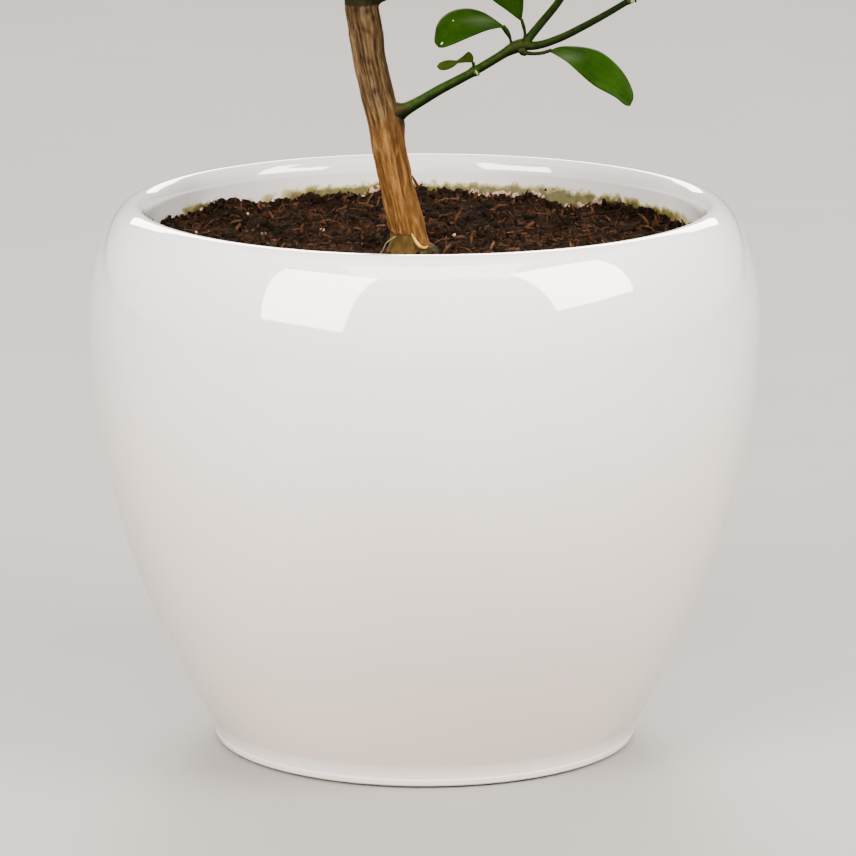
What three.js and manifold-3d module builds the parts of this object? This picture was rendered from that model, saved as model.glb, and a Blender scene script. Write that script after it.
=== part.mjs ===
// A small calamondin orange tree standing in a round white glazed pot.
//
// Units are millimetres. +Z is up, +X is the side the low green shoot leans to, and the
// origin is the centre of the pot's flat underside.
//
// The pot is turned from one profile. Soil fills it, and the trunk's flat cut stands on the
// soil. Boughs leave the trunk and its leader, and every mass of foliage grows from one
// bough's tip: a stem, twigs that branch off it by a seeded rule, and leaves on the twigs.
import * as THREE from 'three';
import { mergeVertices } from 'three/addons/utils/BufferGeometryUtils.js';
import Module from 'manifold-3d';

const wasm = await Module();
wasm.setup();

// ---------------------------------------------------------------- driving dimensions

const GAP = 0.3; // clearance between two pieces that touch
const TINY = 0.12; // shorter edges than this are closed up after a join

const POT = {
  height: 178.7,
  ridgeRadius: 94.7, // crest of the rounded lip
  mouthRadius: 91.6,
  lipDrop: 1.94, // from the crest down to where the inner wall stands upright
  bellyRadius: 110,
  bellyHeight: 143.5,
  footRadius: 67.3,
  footRound: 1.6,
  footSlope: 0.6112, // outward run of the wall for each millimetre of rise at the foot
  footPull: 0.4576, // how far up that slope holds, as a share of the belly's height
  bellyPull: 0.1941, // how far below the belly the wall is upright
  shoulderPowers: [0.971, 1.314],
  wall: 5.6,
  floor: 8,
  collarBottom: 156, // the inner wall is upright from the lip down to here
  segments: 36,
};

const SOIL = {
  level: 166,
  rightDrop: 1.6, // the surface is this much lower at the right
  bump: 1.3,
  flatRadius: 15, // level ground round the trunk's foot
  blendRadius: 34,
  rings: 6,
  clearance: 0.55,
};

const TRUNK = {
  foot: new THREE.Vector3(-4.5, -18, SOIL.level + GAP),
  sunk: 6, // length cut off level with the foot
  // Middle of the stem at rising heights: it leans to the left and a little to the back.
  axis: [[-5.9, -16.9, 173.6], [-7.2, -16.2, 178.7], [-10.1, -14.3, 191.5], [-13.4, -12.1, 207],
    [-15.6, -10.9, 216], [-18.1, -9.2, 227.2], [-19.8, -7.6, 238], [-20.2, -6.9, 244]],
  top: [-19.4, -6.2, 252],
  radius: 5.35,
  flare: 2.5, // how much wider the root flare is at the foot
  flareHeight: 5,
  collarHeight: 213, // swelling where the green shoot leaves
  collar: 0.35,
  collarSpread: 6,
  fork: 1.3, // swelling at the fork
  forkSpread: 5,
};

// The green shoot low on the trunk's right side.
const SHOOT = {
  root: [-9.5, -11.6, 210.6],
  bend: [-1.6, -13, 214],
  tip: [13.6, -15.7, 222.6],
  rootRadius: 1.75,
  tipRadius: 1.5,
};

// Each crown bough leaves the trunk's fork or the leader at a height, and carries the mass
// of the same name. Turn is the compass angle of the mass from +X towards +Y.
const CROWN = { x: -3, y: 2, boughBow: 4, boughSag: 3 };
const LEADER = {
  path: [[-18.6, -5.4, 262], [-15, -3.5, 290], [-9, 0, 335], [-5, 2, 385]],
  tip: [-3.5, 2.5, 428],
  sunk: 3, // it starts this far inside the fork, which is then cut out of it
  rootRadius: 4.5,
  tipRadius: 2.2,
};
const LOW_RING = {
  out: 85, heights: [334, 356, 338, 362, 342], turns: [-14, 128, 204, 58, 274], radius: 72,
  start: 251, step: 10, tipOut: 42, tipBelow: 36, rootRadius: 3.1, tipRadius: 2,
  seeds: [121, 229, 311, 417, 529],
};
const HIGH_RING = {
  out: 72, heights: [426, 408, 432, 404], turns: [24, 205, 112, 296], radius: 72,
  start: 318, step: 12, tipOut: 32, tipBelow: 32, rootRadius: 2.6, tipRadius: 1.8,
  seeds: [612, 710, 827, 906],
};
const TOP = { height: 484, radius: 76, seed: 1021 };

// How every mass of foliage branches. Shares run from 0 at a root to 1 at a tip.
const RULE = {
  turn: THREE.MathUtils.degToRad(137.5), // each twig or leaf stands this far round from the last
  tryTurn: 1.25, // a twig or leaf with no room is tried again this far round, in radians
  margin: 1, // what grows keeps this far inside its own space
  limbClearance: 1.2,
  stemEnd: 0.28, // the stem passes the middle of the mass by this share of its radius
  stemAim: 60, // it points away from a place this far below the mass's height
  stemPull: 0.4, // it holds the bough's direction for about this share of its length
  stemRadius: [1.7, 1],
  twigs: 8,
  twigFrom: 0.12, // the first twig's place along the stem
  twigRadius: [1.1, 0.65],
  twigLean: [1.15, 0.55], // angle off the stem for the first twig and the last
  twigLength: [12, 40],
  twigRise: 0.14, // how much a twig turns upward
  twigTries: 6,
  leaves: 5, // along each twig, with one more at its end
  leafFrom: 0.3,
  leafTo: 0.9,
  leafLean: 0.95,
  endLeafAt: 0.97,
  endLeafLean: 0.2,
  leafTries: 5,
  leafDroop: [0.3, 0.7],
  leafFace: 0.7, // how far the leaf's upper side turns from outward to upward
  leafSpacing: 9, // middles of two leaves are never nearer than this
  leafLength: [42, 51],
  leafWidth: 0.52,
  leafWidest: 0.46, // place of the widest part along the leaf
  leafThickness: 0.02,
  leafThinnest: 0.6,
  leafFold: 0.2, // how far each half rises from the midrib, as a share of its width
  leafArch: 0.06, // how far the middle rises above the line from root to tip
};

// A fruit hangs from the end of a twig.
const FRUIT = { radius: 14, squash: 0.93, sink: 3, clearance: 1.5, hang: 0.9, firstTwig: 2 };

// How finely each kind of limb is faceted: sides round it and steps along it.
const FACETS = {
  trunk: { sides: 10, steps: 17 },
  leader: { sides: 6, steps: 12 },
  bough: { sides: 6, steps: 4 },
  shoot: { sides: 6, steps: 6 },
  stem: { sides: 3, steps: 5 },
  twig: { sides: 3, steps: 2 },
  shootStem: { sides: 6, steps: 1 },
  shootTwig: { sides: 4, steps: 7 },
  petiole: { sides: 3, steps: 1 },
};

const COLOURS = {
  glaze: { color: 0xf1eeeb, roughness: 0.12, metalness: 0 },
  soil: { color: 0x2e1d15, roughness: 1, metalness: 0 },
  bark: { color: 0x7d6144, roughness: 0.9, metalness: 0 },
  greenBark: { color: 0x3c5f1f, roughness: 0.5, metalness: 0 },
  leaf: { color: 0x2f6a1c, roughness: 0.35, metalness: 0 },
};

// ---------------------------------------------------------------- small helpers

const UP = new THREE.Vector3(0, 0, 1);
const vector = ([x, y, z]) => new THREE.Vector3(x, y, z);
const mix = (a, b, t) => a + (b - a) * t;

// Seeded random numbers: the same seed always gives the same tree.
function randomFrom(seed) {
  let state = seed >>> 0;
  return () => {
    state = (state + 0x6d2b79f5) >>> 0;
    let bits = Math.imul(state ^ (state >>> 15), state | 1);
    bits = (bits ^ (bits + Math.imul(bits ^ (bits >>> 7), bits | 61))) >>> 0;
    return ((bits ^ (bits >>> 14)) >>> 0) / 4294967296;
  };
}

function positionsOnly(geometry) {
  const bare = new THREE.BufferGeometry();
  bare.setAttribute('position', geometry.getAttribute('position'));
  bare.setIndex(geometry.getIndex());
  return mergeVertices(bare, 1e-5);
}

function solidOf(geometry) {
  const merged = positionsOnly(geometry);
  return new wasm.Manifold(new wasm.Mesh({
    numProp: 3,
    vertProperties: new Float32Array(merged.getAttribute('position').array),
    triVerts: new Uint32Array(merged.getIndex().array),
  }));
}

// The largest closed shell of a solid: loose scraps and sealed hollows are left behind, and
// so are the tiny edges where two pieces only just cross.
function mainBody(solid) {
  const shells = solid.simplify(TINY).decompose();
  shells.sort((a, b) => b.volume() - a.volume());
  return shells[0];
}

function geometryOf(solid) {
  const mesh = solid.getMesh();
  const geometry = new THREE.BufferGeometry();
  geometry.setAttribute('position', new THREE.BufferAttribute(mesh.vertProperties, 3));
  geometry.setIndex(new THREE.BufferAttribute(mesh.triVerts, 1));
  geometry.computeVertexNormals();
  return geometry;
}

function nodeMesh(name, geometry, look) {
  const mesh = new THREE.Mesh(geometry, new THREE.MeshStandardMaterial(look));
  mesh.name = name;
  return mesh;
}

// ---------------------------------------------------------------- pot and soil

// Lower wall from the foot up to the belly.
const lowerWall = new THREE.CubicBezierCurve(
  new THREE.Vector2(POT.footRadius, 0),
  new THREE.Vector2(POT.footRadius + POT.footPull * POT.bellyHeight * POT.footSlope,
    POT.footPull * POT.bellyHeight),
  new THREE.Vector2(POT.bellyRadius, POT.bellyHeight * (1 - POT.bellyPull)),
  new THREE.Vector2(POT.bellyRadius, POT.bellyHeight),
);

function potOuterWall() {
  const points = [
    new THREE.Vector2(POT.footRadius - POT.footRound, 0),
    new THREE.Vector2(POT.footRadius, POT.footRound * 0.35),
    new THREE.Vector2(POT.footRadius + POT.footSlope * POT.footRound, POT.footRound),
  ];
  const wallSteps = 7;
  for (let i = 1; i < wallSteps; i += 1) points.push(lowerWall.getPoint(i / wallSteps));
  const shoulderSteps = 5;
  const [across, along] = POT.shoulderPowers;
  for (let i = 0; i <= shoulderSteps; i += 1) {
    const angle = (i / shoulderSteps) * Math.PI / 2;
    points.push(new THREE.Vector2(
      mix(POT.ridgeRadius, POT.bellyRadius, Math.max(Math.cos(angle), 0) ** across),
      mix(POT.bellyHeight, POT.height, Math.sin(angle) ** along),
    ));
  }
  return points;
}

// From the lip down to the floor.
function potInnerWall() {
  const points = [
    new THREE.Vector2(mix(POT.ridgeRadius, POT.mouthRadius, Math.SQRT1_2),
      POT.height - POT.lipDrop * (1 - Math.SQRT1_2)),
    new THREE.Vector2(POT.mouthRadius, POT.height - POT.lipDrop),
    new THREE.Vector2(POT.mouthRadius, POT.collarBottom),
  ];
  for (const t of [0.8, 0.5, 0.2]) {
    const point = lowerWall.getPoint(t);
    const along = lowerWall.getTangent(t);
    points.push(new THREE.Vector2(point.x - along.y * POT.wall, point.y + along.x * POT.wall));
  }
  points.push(new THREE.Vector2(POT.footRadius - POT.wall, POT.floor));
  return points;
}

// Turns a closed profile about the z axis.
function turned(profile, segments) {
  const geometry = new THREE.LatheGeometry(profile, segments);
  geometry.rotateX(Math.PI / 2);
  return positionsOnly(geometry);
}

function makePot() {
  const profile = [
    new THREE.Vector2(0, 0),
    ...potOuterWall(),
    ...potInnerWall(),
    new THREE.Vector2(0, POT.floor),
  ];
  return turned(profile, POT.segments);
}

// Height of the soil's surface: low bumps, lower at the right, level round the trunk's foot.
function soilHeight(x, y) {
  const wave = Math.sin(x * 0.083 + 1.1) * Math.cos(y * 0.096 - 0.4)
    + 0.6 * Math.sin(x * 0.17 - y * 0.14);
  const slope = -SOIL.rightDrop * THREE.MathUtils.smoothstep(x, -20, POT.mouthRadius);
  const fromFoot = Math.hypot(x - TRUNK.foot.x, y - TRUNK.foot.y);
  const free = THREE.MathUtils.smoothstep(fromFoot, SOIL.flatRadius, SOIL.blendRadius);
  return SOIL.level + free * (SOIL.bump * wave + slope);
}

function makeSoil() {
  const profile = [new THREE.Vector2(0, POT.floor + GAP)];
  for (const point of potInnerWall().reverse()) {
    if (point.y > POT.collarBottom) continue;
    profile.push(new THREE.Vector2(point.x - SOIL.clearance, Math.max(point.y, POT.floor + GAP)));
  }
  const rim = POT.mouthRadius - SOIL.clearance;
  for (let i = SOIL.rings; i >= 0; i -= 1) {
    profile.push(new THREE.Vector2((rim * i) / SOIL.rings, SOIL.level));
  }
  const geometry = turned(profile, POT.segments);
  const position = geometry.getAttribute('position');
  for (let i = 0; i < position.count; i += 1) {
    if (Math.abs(position.getZ(i) - SOIL.level) > 0.01) continue;
    position.setZ(i, soilHeight(position.getX(i), position.getY(i)));
  }
  return geometry;
}

// ---------------------------------------------------------------- limbs

// A limb is a cylinder bent along a smooth curve, its radius given at each share of the way.
// Grow adds to the radius and to both ends, for cutting a neighbour clear of it.
function limbGeometry(limb, grow = 0) {
  const { curve, radiusAt, sides, steps } = limb;
  const frames = curve.computeFrenetFrames(steps, false);
  const geometry = new THREE.CylinderGeometry(1, 1, 1, sides, steps);
  const position = geometry.getAttribute('position');
  const wider = grow / Math.cos(Math.PI / sides);
  const point = new THREE.Vector3();
  for (let i = 0; i < position.count; i += 1) {
    const row = Math.round((position.getY(i) + 0.5) * steps);
    const radius = radiusAt(row / steps) + wider;
    curve.getPointAt(row / steps, point);
    if (row === 0) point.addScaledVector(frames.tangents[row], -grow);
    if (row === steps) point.addScaledVector(frames.tangents[row], grow);
    point.addScaledVector(frames.normals[row], position.getX(i) * radius);
    point.addScaledVector(frames.binormals[row], -position.getZ(i) * radius);
    position.setXYZ(i, point.x, point.y, point.z);
  }
  return positionsOnly(geometry);
}

// The middle of a limb's facets at a share of the way, which is where a leaf roots.
function limbMiddle(limb, share) {
  const row = Math.min(Math.floor(share * limb.steps), limb.steps - 1);
  const from = limb.curve.getPointAt(row / limb.steps);
  const to = limb.curve.getPointAt((row + 1) / limb.steps);
  return from.lerp(to, share * limb.steps - row);
}

function taper([root, tip]) {
  return (t) => mix(root, tip, t);
}

function makeTrunkLimb() {
  const lean = vector(TRUNK.axis[0]).sub(TRUNK.foot).normalize();
  const bottom = TRUNK.foot.clone().addScaledVector(lean, -TRUNK.sunk);
  const points = [bottom, TRUNK.foot, ...TRUNK.axis.map(vector), vector(TRUNK.top)];
  const curve = new THREE.CatmullRomCurve3(points, false, 'centripetal');
  const radiusAt = (t) => {
    const height = curve.getPointAt(t).z;
    const bell = (middle, spread) => Math.exp(-(((height - middle) / spread) ** 2));
    return TRUNK.radius
      + TRUNK.flare * Math.exp(-Math.max(height - TRUNK.foot.z, 0) / TRUNK.flareHeight)
      + TRUNK.collar * bell(TRUNK.collarHeight, TRUNK.collarSpread)
      + TRUNK.fork * bell(TRUNK.top[2], TRUNK.forkSpread);
  };
  return { name: 'trunk', curve, radiusAt, ...FACETS.trunk };
}

function makeBoughLimb(name, points, radii, facets) {
  const curve = new THREE.CatmullRomCurve3(points, false, 'centripetal');
  return { name, curve, radiusAt: taper(radii), ...facets };
}

// A bough of the crown: from the leader at one height, out and up to the foot of its mass.
function makeCrownBough(ring, index, onLeader) {
  const turn = THREE.MathUtils.degToRad(ring.turns[index]);
  const away = new THREE.Vector3(Math.cos(turn), Math.sin(turn), 0);
  const root = onLeader(ring.start + ring.step * index);
  const tip = new THREE.Vector3(CROWN.x, CROWN.y, ring.heights[index] - ring.tipBelow)
    .addScaledVector(away, ring.tipOut);
  const middle = root.clone().lerp(tip, 0.5).addScaledVector(away, CROWN.boughBow);
  middle.z -= CROWN.boughSag;
  return { points: [root, middle, tip], away };
}

// ---------------------------------------------------------------- masses of foliage

// Each mass keeps to a ball, and to its own side of the plane between it and a neighbour.
function makeSpace(masses, index) {
  const own = masses[index];
  return (point, spare = 0) => {
    const fromOwn = point.distanceTo(own.middle);
    if (fromOwn + spare > own.radius) return false;
    const ownPower = fromOwn ** 2 - own.radius ** 2;
    for (const other of masses) {
      if (other === own) continue;
      const power = point.distanceToSquared(other.middle) - other.radius ** 2;
      const room = (power - ownPower) / (2 * own.middle.distanceTo(other.middle));
      if (room < RULE.margin + spare) return false;
    }
    return true;
  };
}

// Points along every limb, with the limb's radius there, for keeping leaves off the wood.
function limbBeads(limbs) {
  const spacing = 4;
  const beads = [];
  for (const limb of limbs) {
    const count = Math.ceil(limb.curve.getLength() / spacing);
    for (let i = 0; i <= count; i += 1) {
      beads.push({ at: limb.curve.getPointAt(i / count), radius: limb.radiusAt(i / count) });
    }
  }
  return beads;
}

function clearOfBeads(point, beads, spare) {
  return beads.every((bead) => point.distanceTo(bead.at) > bead.radius + spare);
}

// A direction at an angle off the axis, a turn round it.
function branchOff(axis, lean, turn) {
  const across = Math.abs(axis.z) < 0.9 ? UP : new THREE.Vector3(1, 0, 0);
  const side = new THREE.Vector3().crossVectors(axis, across).normalize();
  return axis.clone().applyAxisAngle(side, lean).applyAxisAngle(axis, turn).normalize();
}

// How far the way from a twig's root stays inside the space and off the limbs.
function freeWay(from, direction, most, inside, beads) {
  const step = 3;
  const ownLimb = 9; // the limb that it leaves doesn't count as in the way
  let length = 0;
  while (length < most) {
    const next = from.clone().addScaledVector(direction, length + step);
    if (!inside(next)) break;
    if (length + step > ownLimb && !clearOfBeads(next, beads, 2 * RULE.limbClearance)) break;
    length += step;
  }
  return length;
}

// Places on a leaf: along it, across it from -1 to 1, and above its surface.
function leafSurface(leaf) {
  const along = leaf.tip.clone().sub(leaf.root);
  const length = along.length();
  along.normalize();
  const side = new THREE.Vector3().crossVectors(along, leaf.face).normalize();
  const face = new THREE.Vector3().crossVectors(side, along);
  const at = (share, across, lift) => {
    const fold = (leaf.fold * Math.abs(across) * leaf.width) / 2;
    const arch = leaf.arch * length * 4 * share * (1 - share);
    return leaf.root.clone()
      .addScaledVector(along, length * share)
      .addScaledVector(side, (across * leaf.width) / 2)
      .addScaledVector(face, lift + fold + arch);
  };
  return { at, length };
}

// A leaf with what is needed to test it: its middle, its corners and its two flat halves.
function makeLeaf({ root, tip, face, width, fold = RULE.leafFold, arch = RULE.leafArch }) {
  const leaf = { root, tip, face, width, fold, arch };
  const { at } = leafSurface(leaf);
  const sides = [1, -1].map((across) => at(RULE.leafWidest, across, 0));
  const stalk = at(0.1, 0, 0);
  leaf.middle = at(0.5, 0, 0);
  leaf.corners = [leaf.middle, tip, ...sides];
  leaf.halves = sides.map((side) => [stalk, side, tip]);
  return leaf;
}

// The blade is an octahedron with its rim moved to the leaf's outline.
function leafGeometry(leaf) {
  const { at, length } = leafSurface(leaf);
  const geometry = new THREE.OctahedronGeometry(1);
  const position = geometry.getAttribute('position');
  const thickness = Math.max(length * RULE.leafThickness, RULE.leafThinnest);
  for (let i = 0; i < position.count; i += 1) {
    const end = position.getX(i); // -1 at the root, 1 at the tip and 0 between
    const pole = position.getY(i);
    const across = position.getZ(i);
    const share = Math.abs(end) > 0.5 ? (end + 1) / 2 : RULE.leafWidest;
    const point = at(share, across, (pole * thickness) / 2);
    position.setXYZ(i, point.x, point.y, point.z);
  }
  return positionsOnly(geometry);
}

function segmentMeetsTriangle(from, to, [a, b, c]) {
  const way = to.clone().sub(from);
  const edge1 = b.clone().sub(a);
  const edge2 = c.clone().sub(a);
  const across = way.clone().cross(edge2);
  const scale = edge1.dot(across);
  if (Math.abs(scale) < 1e-9) return false;
  const offset = from.clone().sub(a);
  const swing = offset.clone().cross(edge1);
  const u = offset.dot(across) / scale;
  const v = way.dot(swing) / scale;
  const along = edge2.dot(swing) / scale;
  return u >= 0 && v >= 0 && u + v <= 1 && along >= 0 && along <= 1;
}

function edgesMeet(halves, others) {
  return halves.some((half) => half.some((corner, i) => others.some((other) => (
    segmentMeetsTriangle(corner, half[(i + 1) % 3], other)))));
}

function leavesCross(leaf, other) {
  if (leaf.middle.distanceTo(other.middle) > RULE.leafLength[1] * 1.1) return false;
  return edgesMeet(leaf.halves, other.halves) || edgesMeet(other.halves, leaf.halves);
}

function leafCrossesTwig(leaf, twig) {
  const points = [0, 0.5, 1].map((share) => twig.curve.getPointAt(share));
  return leaf.halves.some((half) => segmentMeetsTriangle(points[0], points[1], half)
    || segmentMeetsTriangle(points[1], points[2], half));
}

function leafIsFree(leaf, own, growth, inside, beads) {
  const { twigs, leaves, fruits } = growth;
  const { middle, corners } = leaf;
  const inTheOpen = (point) => inside(point) && clearOfBeads(point, beads, RULE.limbClearance);
  if (!corners.every(inTheOpen)) return false;
  if (leaves.some((other) => other.middle.distanceTo(middle) < RULE.leafSpacing)) return false;
  if (leaves.some((other) => leavesCross(leaf, other))) return false;
  if (twigs.some((twig) => twig !== own && leafCrossesTwig(leaf, twig))) return false;
  return fruits.every((fruit) => corners.every((point) => (
    point.distanceTo(fruit.middle) > fruit.radius + FRUIT.clearance)));
}

function fruitGeometry(fruit) {
  const geometry = new THREE.SphereGeometry(fruit.radius, 8, 5);
  geometry.rotateX(Math.PI / 2);
  geometry.scale(1, 1, FRUIT.squash);
  geometry.translate(fruit.middle.x, fruit.middle.y, fruit.middle.z);
  return positionsOnly(geometry);
}

function twigLimb(points, radii, facets) {
  const curve = new THREE.QuadraticBezierCurve3(...points);
  return { curve, radiusAt: taper(radii), ...facets };
}

// The stem goes on from the bough and turns outward through the middle of the mass.
function growStem(mass) {
  const start = mass.from.clone().addScaledVector(mass.heading, GAP);
  const aim = new THREE.Vector3(CROWN.x, CROWN.y, mass.middle.z - RULE.stemAim);
  const outward = mass.middle.clone().sub(aim).normalize();
  const tip = mass.middle.clone().addScaledVector(outward, mass.radius * RULE.stemEnd);
  const pull = start.distanceTo(tip) * RULE.stemPull;
  const bend = start.clone().addScaledVector(mass.heading, pull);
  return twigLimb([start, bend, tip], RULE.stemRadius, FACETS.stem);
}

// A twig leaves the stem where there is room for it and for the leaf at its end.
function growTwig(stem, index, random, inside, beads) {
  const share = mix(RULE.twigFrom, 1, index / (RULE.twigs - 1));
  const root = limbMiddle(stem, share);
  const axis = stem.curve.getTangentAt(share);
  const lean = mix(...RULE.twigLean, share);
  const endLeaf = mix(...RULE.leafLength, random());
  const [shortest, longest] = RULE.twigLength;
  let best = { way: 0 };
  for (let tries = 0; tries < RULE.twigTries && best.way < shortest * 1.5; tries += 1) {
    const direction = branchOff(axis, lean, index * RULE.turn + tries * RULE.tryTurn);
    direction.z += RULE.twigRise;
    direction.normalize();
    const way = freeWay(root, direction, longest + endLeaf, inside, beads) - endLeaf;
    if (way > best.way) best = { way, direction };
  }
  if (best.way < shortest) return null;
  const tip = root.clone().addScaledVector(best.direction, best.way);
  const bend = root.clone().lerp(tip, 0.5);
  bend.z -= (best.way * RULE.twigRise) / 2;
  const twig = twigLimb([root, bend, tip], RULE.twigRadius, FACETS.twig);
  return Object.assign(twig, { turn: index * RULE.turn, tip, direction: best.direction });
}

function hangFruit(twig, inside, beads) {
  const hang = twig.direction.clone().addScaledVector(UP, -FRUIT.hang).normalize();
  const middle = twig.tip.clone().addScaledVector(hang, FRUIT.radius - FRUIT.sink);
  const free = inside(middle, FRUIT.radius)
    && clearOfBeads(middle, beads, FRUIT.radius + RULE.limbClearance);
  return free ? { middle, radius: FRUIT.radius } : null;
}

// Grows one mass from its bough's tip: stem, twigs, one fruit where there is room, leaves.
function growMass(mass, inside, beads) {
  const random = randomFrom(mass.seed);
  const stem = growStem(mass);
  const growth = { twigs: [stem], leaves: [], fruits: [] };
  for (let i = 0; i < RULE.twigs; i += 1) {
    const twig = growTwig(stem, i, random, inside, beads);
    if (!twig) continue;
    growth.twigs.push(twig);
    if (growth.fruits.length || i < FRUIT.firstTwig) continue;
    const fruit = hangFruit(twig, inside, beads);
    if (!fruit) continue;
    growth.fruits.push(fruit);
    twig.bears = true;
  }

  const addLeaf = (twig, share, lean, turn) => {
    const root = limbMiddle(twig, share);
    const along = twig.curve.getTangentAt(share);
    const length = mix(...RULE.leafLength, random());
    for (let tries = 0; tries < RULE.leafTries; tries += 1) {
      const direction = branchOff(along, lean, turn + tries * RULE.tryTurn);
      direction.z -= mix(...RULE.leafDroop, random());
      const tip = root.clone().addScaledVector(direction.normalize(), length);
      const face = tip.clone().sub(mass.middle).normalize().addScaledVector(UP, RULE.leafFace);
      const leaf = makeLeaf({ root, tip, face, width: length * RULE.leafWidth });
      if (!leafIsFree(leaf, twig, growth, inside, beads)) continue;
      growth.leaves.push(leaf);
      return;
    }
  };
  for (const twig of growth.twigs.slice(1)) {
    if (!twig.bears) addLeaf(twig, RULE.endLeafAt, RULE.endLeafLean, twig.turn);
    for (let i = 0; i < RULE.leaves; i += 1) {
      const share = mix(RULE.leafFrom, RULE.leafTo, i / (RULE.leaves - 1));
      addLeaf(twig, share, RULE.leafLean, twig.turn + (i + 1) * RULE.turn);
    }
  }
  return growth;
}

function massGeometry(growth) {
  const parts = [
    ...growth.twigs.map((twig) => limbGeometry(twig)),
    ...growth.leaves.map(leafGeometry),
    ...growth.fruits.map(fruitGeometry),
  ];
  let solid = solidOf(parts[0]);
  for (const part of parts.slice(1)) solid = solid.add(solidOf(part));
  return geometryOf(mainBody(solid));
}

// ---------------------------------------------------------------- the low shoot's own leaves

// Two twigs fork from the shoot's node. The leaves near the node are placed one by one.
const SHOOT_MASS = {
  middle: [46, -17, 250],
  radius: 50,
  seed: 1103,
  fork: [32.2, -18, 233.2],
  stemRadius: [1.45, 1.7],
  twigs: [
    {
      points: [[31.2, -18, 232.4], [36.9, -16, 239.2], [44.3, -12, 246.4], [52, -6, 262],
        [54, -4, 276]],
      radii: [1.3, 0.8],
    },
    {
      points: [[31.2, -18, 232.8], [43.3, -20, 234.3], [54, -21.6, 239.4], [66.4, -23, 247.3],
        [70, -21, 268]],
      radii: [1.25, 0.75],
    },
  ],
  leafFrom: 0.62, // the twigs are bare up to here
  leafCount: 6,
  leafLength: [31, 36],
  // Petioles run from the stem to the foot of a blade: the small winged leaf at the lower
  // node, then the left, upright and right leaves at the fork.
  petioles: [
    [[16.1, -16, 224], [15.1, -17, 228.9]],
    [[27.9, -18, 231.6], [25.6, -19.5, 238.9]],
    [[32.1, -18, 233.8], [30, -19, 241.9]],
    [[32.4, -18.3, 232], [41.2, -20.2, 232.1]],
  ],
  petioleRadius: [0.8, 0.8],
  face: [0.2, -0.3, 1], // the way the upper leaves look
  blades: [
    { root: [15.3, -17, 228.2], tip: [9.9, -18, 227.8], face: [-0.3, -0.9, 0.6], width: 5, arch: 0.1 },
    { root: [11.6, -17.7, 227.9], tip: [3.9, -19.5, 226.2], face: [0, -0.9, 0.6], width: 4.4, arch: 0 },
    { root: [25.9, -19.4, 238.2], tip: [4.8, -27, 233.4], face: [-0.2, -0.6, 0.8], width: 15, arch: 0.16 },
    { root: [30.2, -18.9, 241], tip: [14, -21.5, 269], face: [-0.5, -0.8, 0.1], width: 15, arch: 0.05 },
    { root: [40.4, -20, 232], tip: [65.5, -27, 214.9], face: [0.4, -0.6, 0.8], width: 15, arch: 0.16 },
  ],
};

function growShootMass(mass, inside, beads) {
  const random = randomFrom(mass.seed);
  const stemRoot = mass.from.clone().addScaledVector(mass.heading, GAP);
  const straight = (from, to, radii, facets) => (
    twigLimb([from, from.clone().lerp(to, 0.5), to], radii, facets));
  const growth = {
    twigs: [straight(stemRoot, vector(SHOOT_MASS.fork), SHOOT_MASS.stemRadius, FACETS.shootStem)],
    leaves: SHOOT_MASS.blades.map((blade) => makeLeaf({
      ...blade, root: vector(blade.root), tip: vector(blade.tip), face: vector(blade.face),
    })),
    fruits: [],
  };
  for (const [from, to] of SHOOT_MASS.petioles) {
    const petiole = straight(vector(from), vector(to), SHOOT_MASS.petioleRadius, FACETS.petiole);
    growth.twigs.push(petiole);
  }
  for (const { points, radii } of SHOOT_MASS.twigs) {
    const curve = new THREE.CatmullRomCurve3(points.map(vector), false, 'centripetal');
    const twig = { curve, radiusAt: taper(radii), ...FACETS.shootTwig };
    growth.twigs.push(twig);
    const last = SHOOT_MASS.leafCount - 1;
    for (let i = 0; i <= last; i += 1) {
      const share = mix(SHOOT_MASS.leafFrom, RULE.endLeafAt, i / last);
      const root = limbMiddle(twig, share);
      const length = mix(...SHOOT_MASS.leafLength, random());
      const lean = i === last ? RULE.endLeafLean : RULE.leafLean;
      for (let tries = 0; tries < RULE.leafTries; tries += 1) {
        const turn = i * RULE.turn + tries * RULE.tryTurn;
        const direction = branchOff(curve.getTangentAt(share), lean, turn);
        const tip = root.clone().addScaledVector(direction, length);
        const face = vector(SHOOT_MASS.face);
        const leaf = makeLeaf({ root, tip, face, width: length * RULE.leafWidth });
        if (!leaf.corners.every((point) => point.z > TRUNK.top[2])) continue;
        if (!leafIsFree(leaf, twig, growth, inside, beads)) continue;
        growth.leaves.push(leaf);
        break;
      }
    }
  }
  return growth;
}

// ---------------------------------------------------------------- assembly

const tree = new THREE.Group();
tree.add(nodeMesh('pot', makePot(), COLOURS.glaze));
tree.add(nodeMesh('soil', makeSoil(), COLOURS.soil));

const limbs = [];

// Adds a limb, cut clear of every limb before it. The trunk is cut off level with the soil.
function addLimb(limb, look) {
  let solid = solidOf(limbGeometry(limb));
  for (const earlier of limbs) solid = solid.subtract(solidOf(limbGeometry(earlier, GAP)));
  if (limb.name === 'trunk') {
    const side = 80;
    const ground = new THREE.BoxGeometry(side, side, side);
    ground.translate(TRUNK.foot.x, TRUNK.foot.y, TRUNK.foot.z - side / 2);
    solid = solid.subtract(solidOf(ground));
  }
  limbs.push(limb);
  tree.add(nodeMesh(limb.name, geometryOf(mainBody(solid)), look));
}

const trunk = makeTrunkLimb();
addLimb(trunk, COLOURS.bark);

const shoot = makeBoughLimb('shoot_bough', [SHOOT.root, SHOOT.bend, SHOOT.tip].map(vector),
  [SHOOT.rootRadius, SHOOT.tipRadius], FACETS.shoot);
addLimb(shoot, COLOURS.greenBark);

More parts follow.
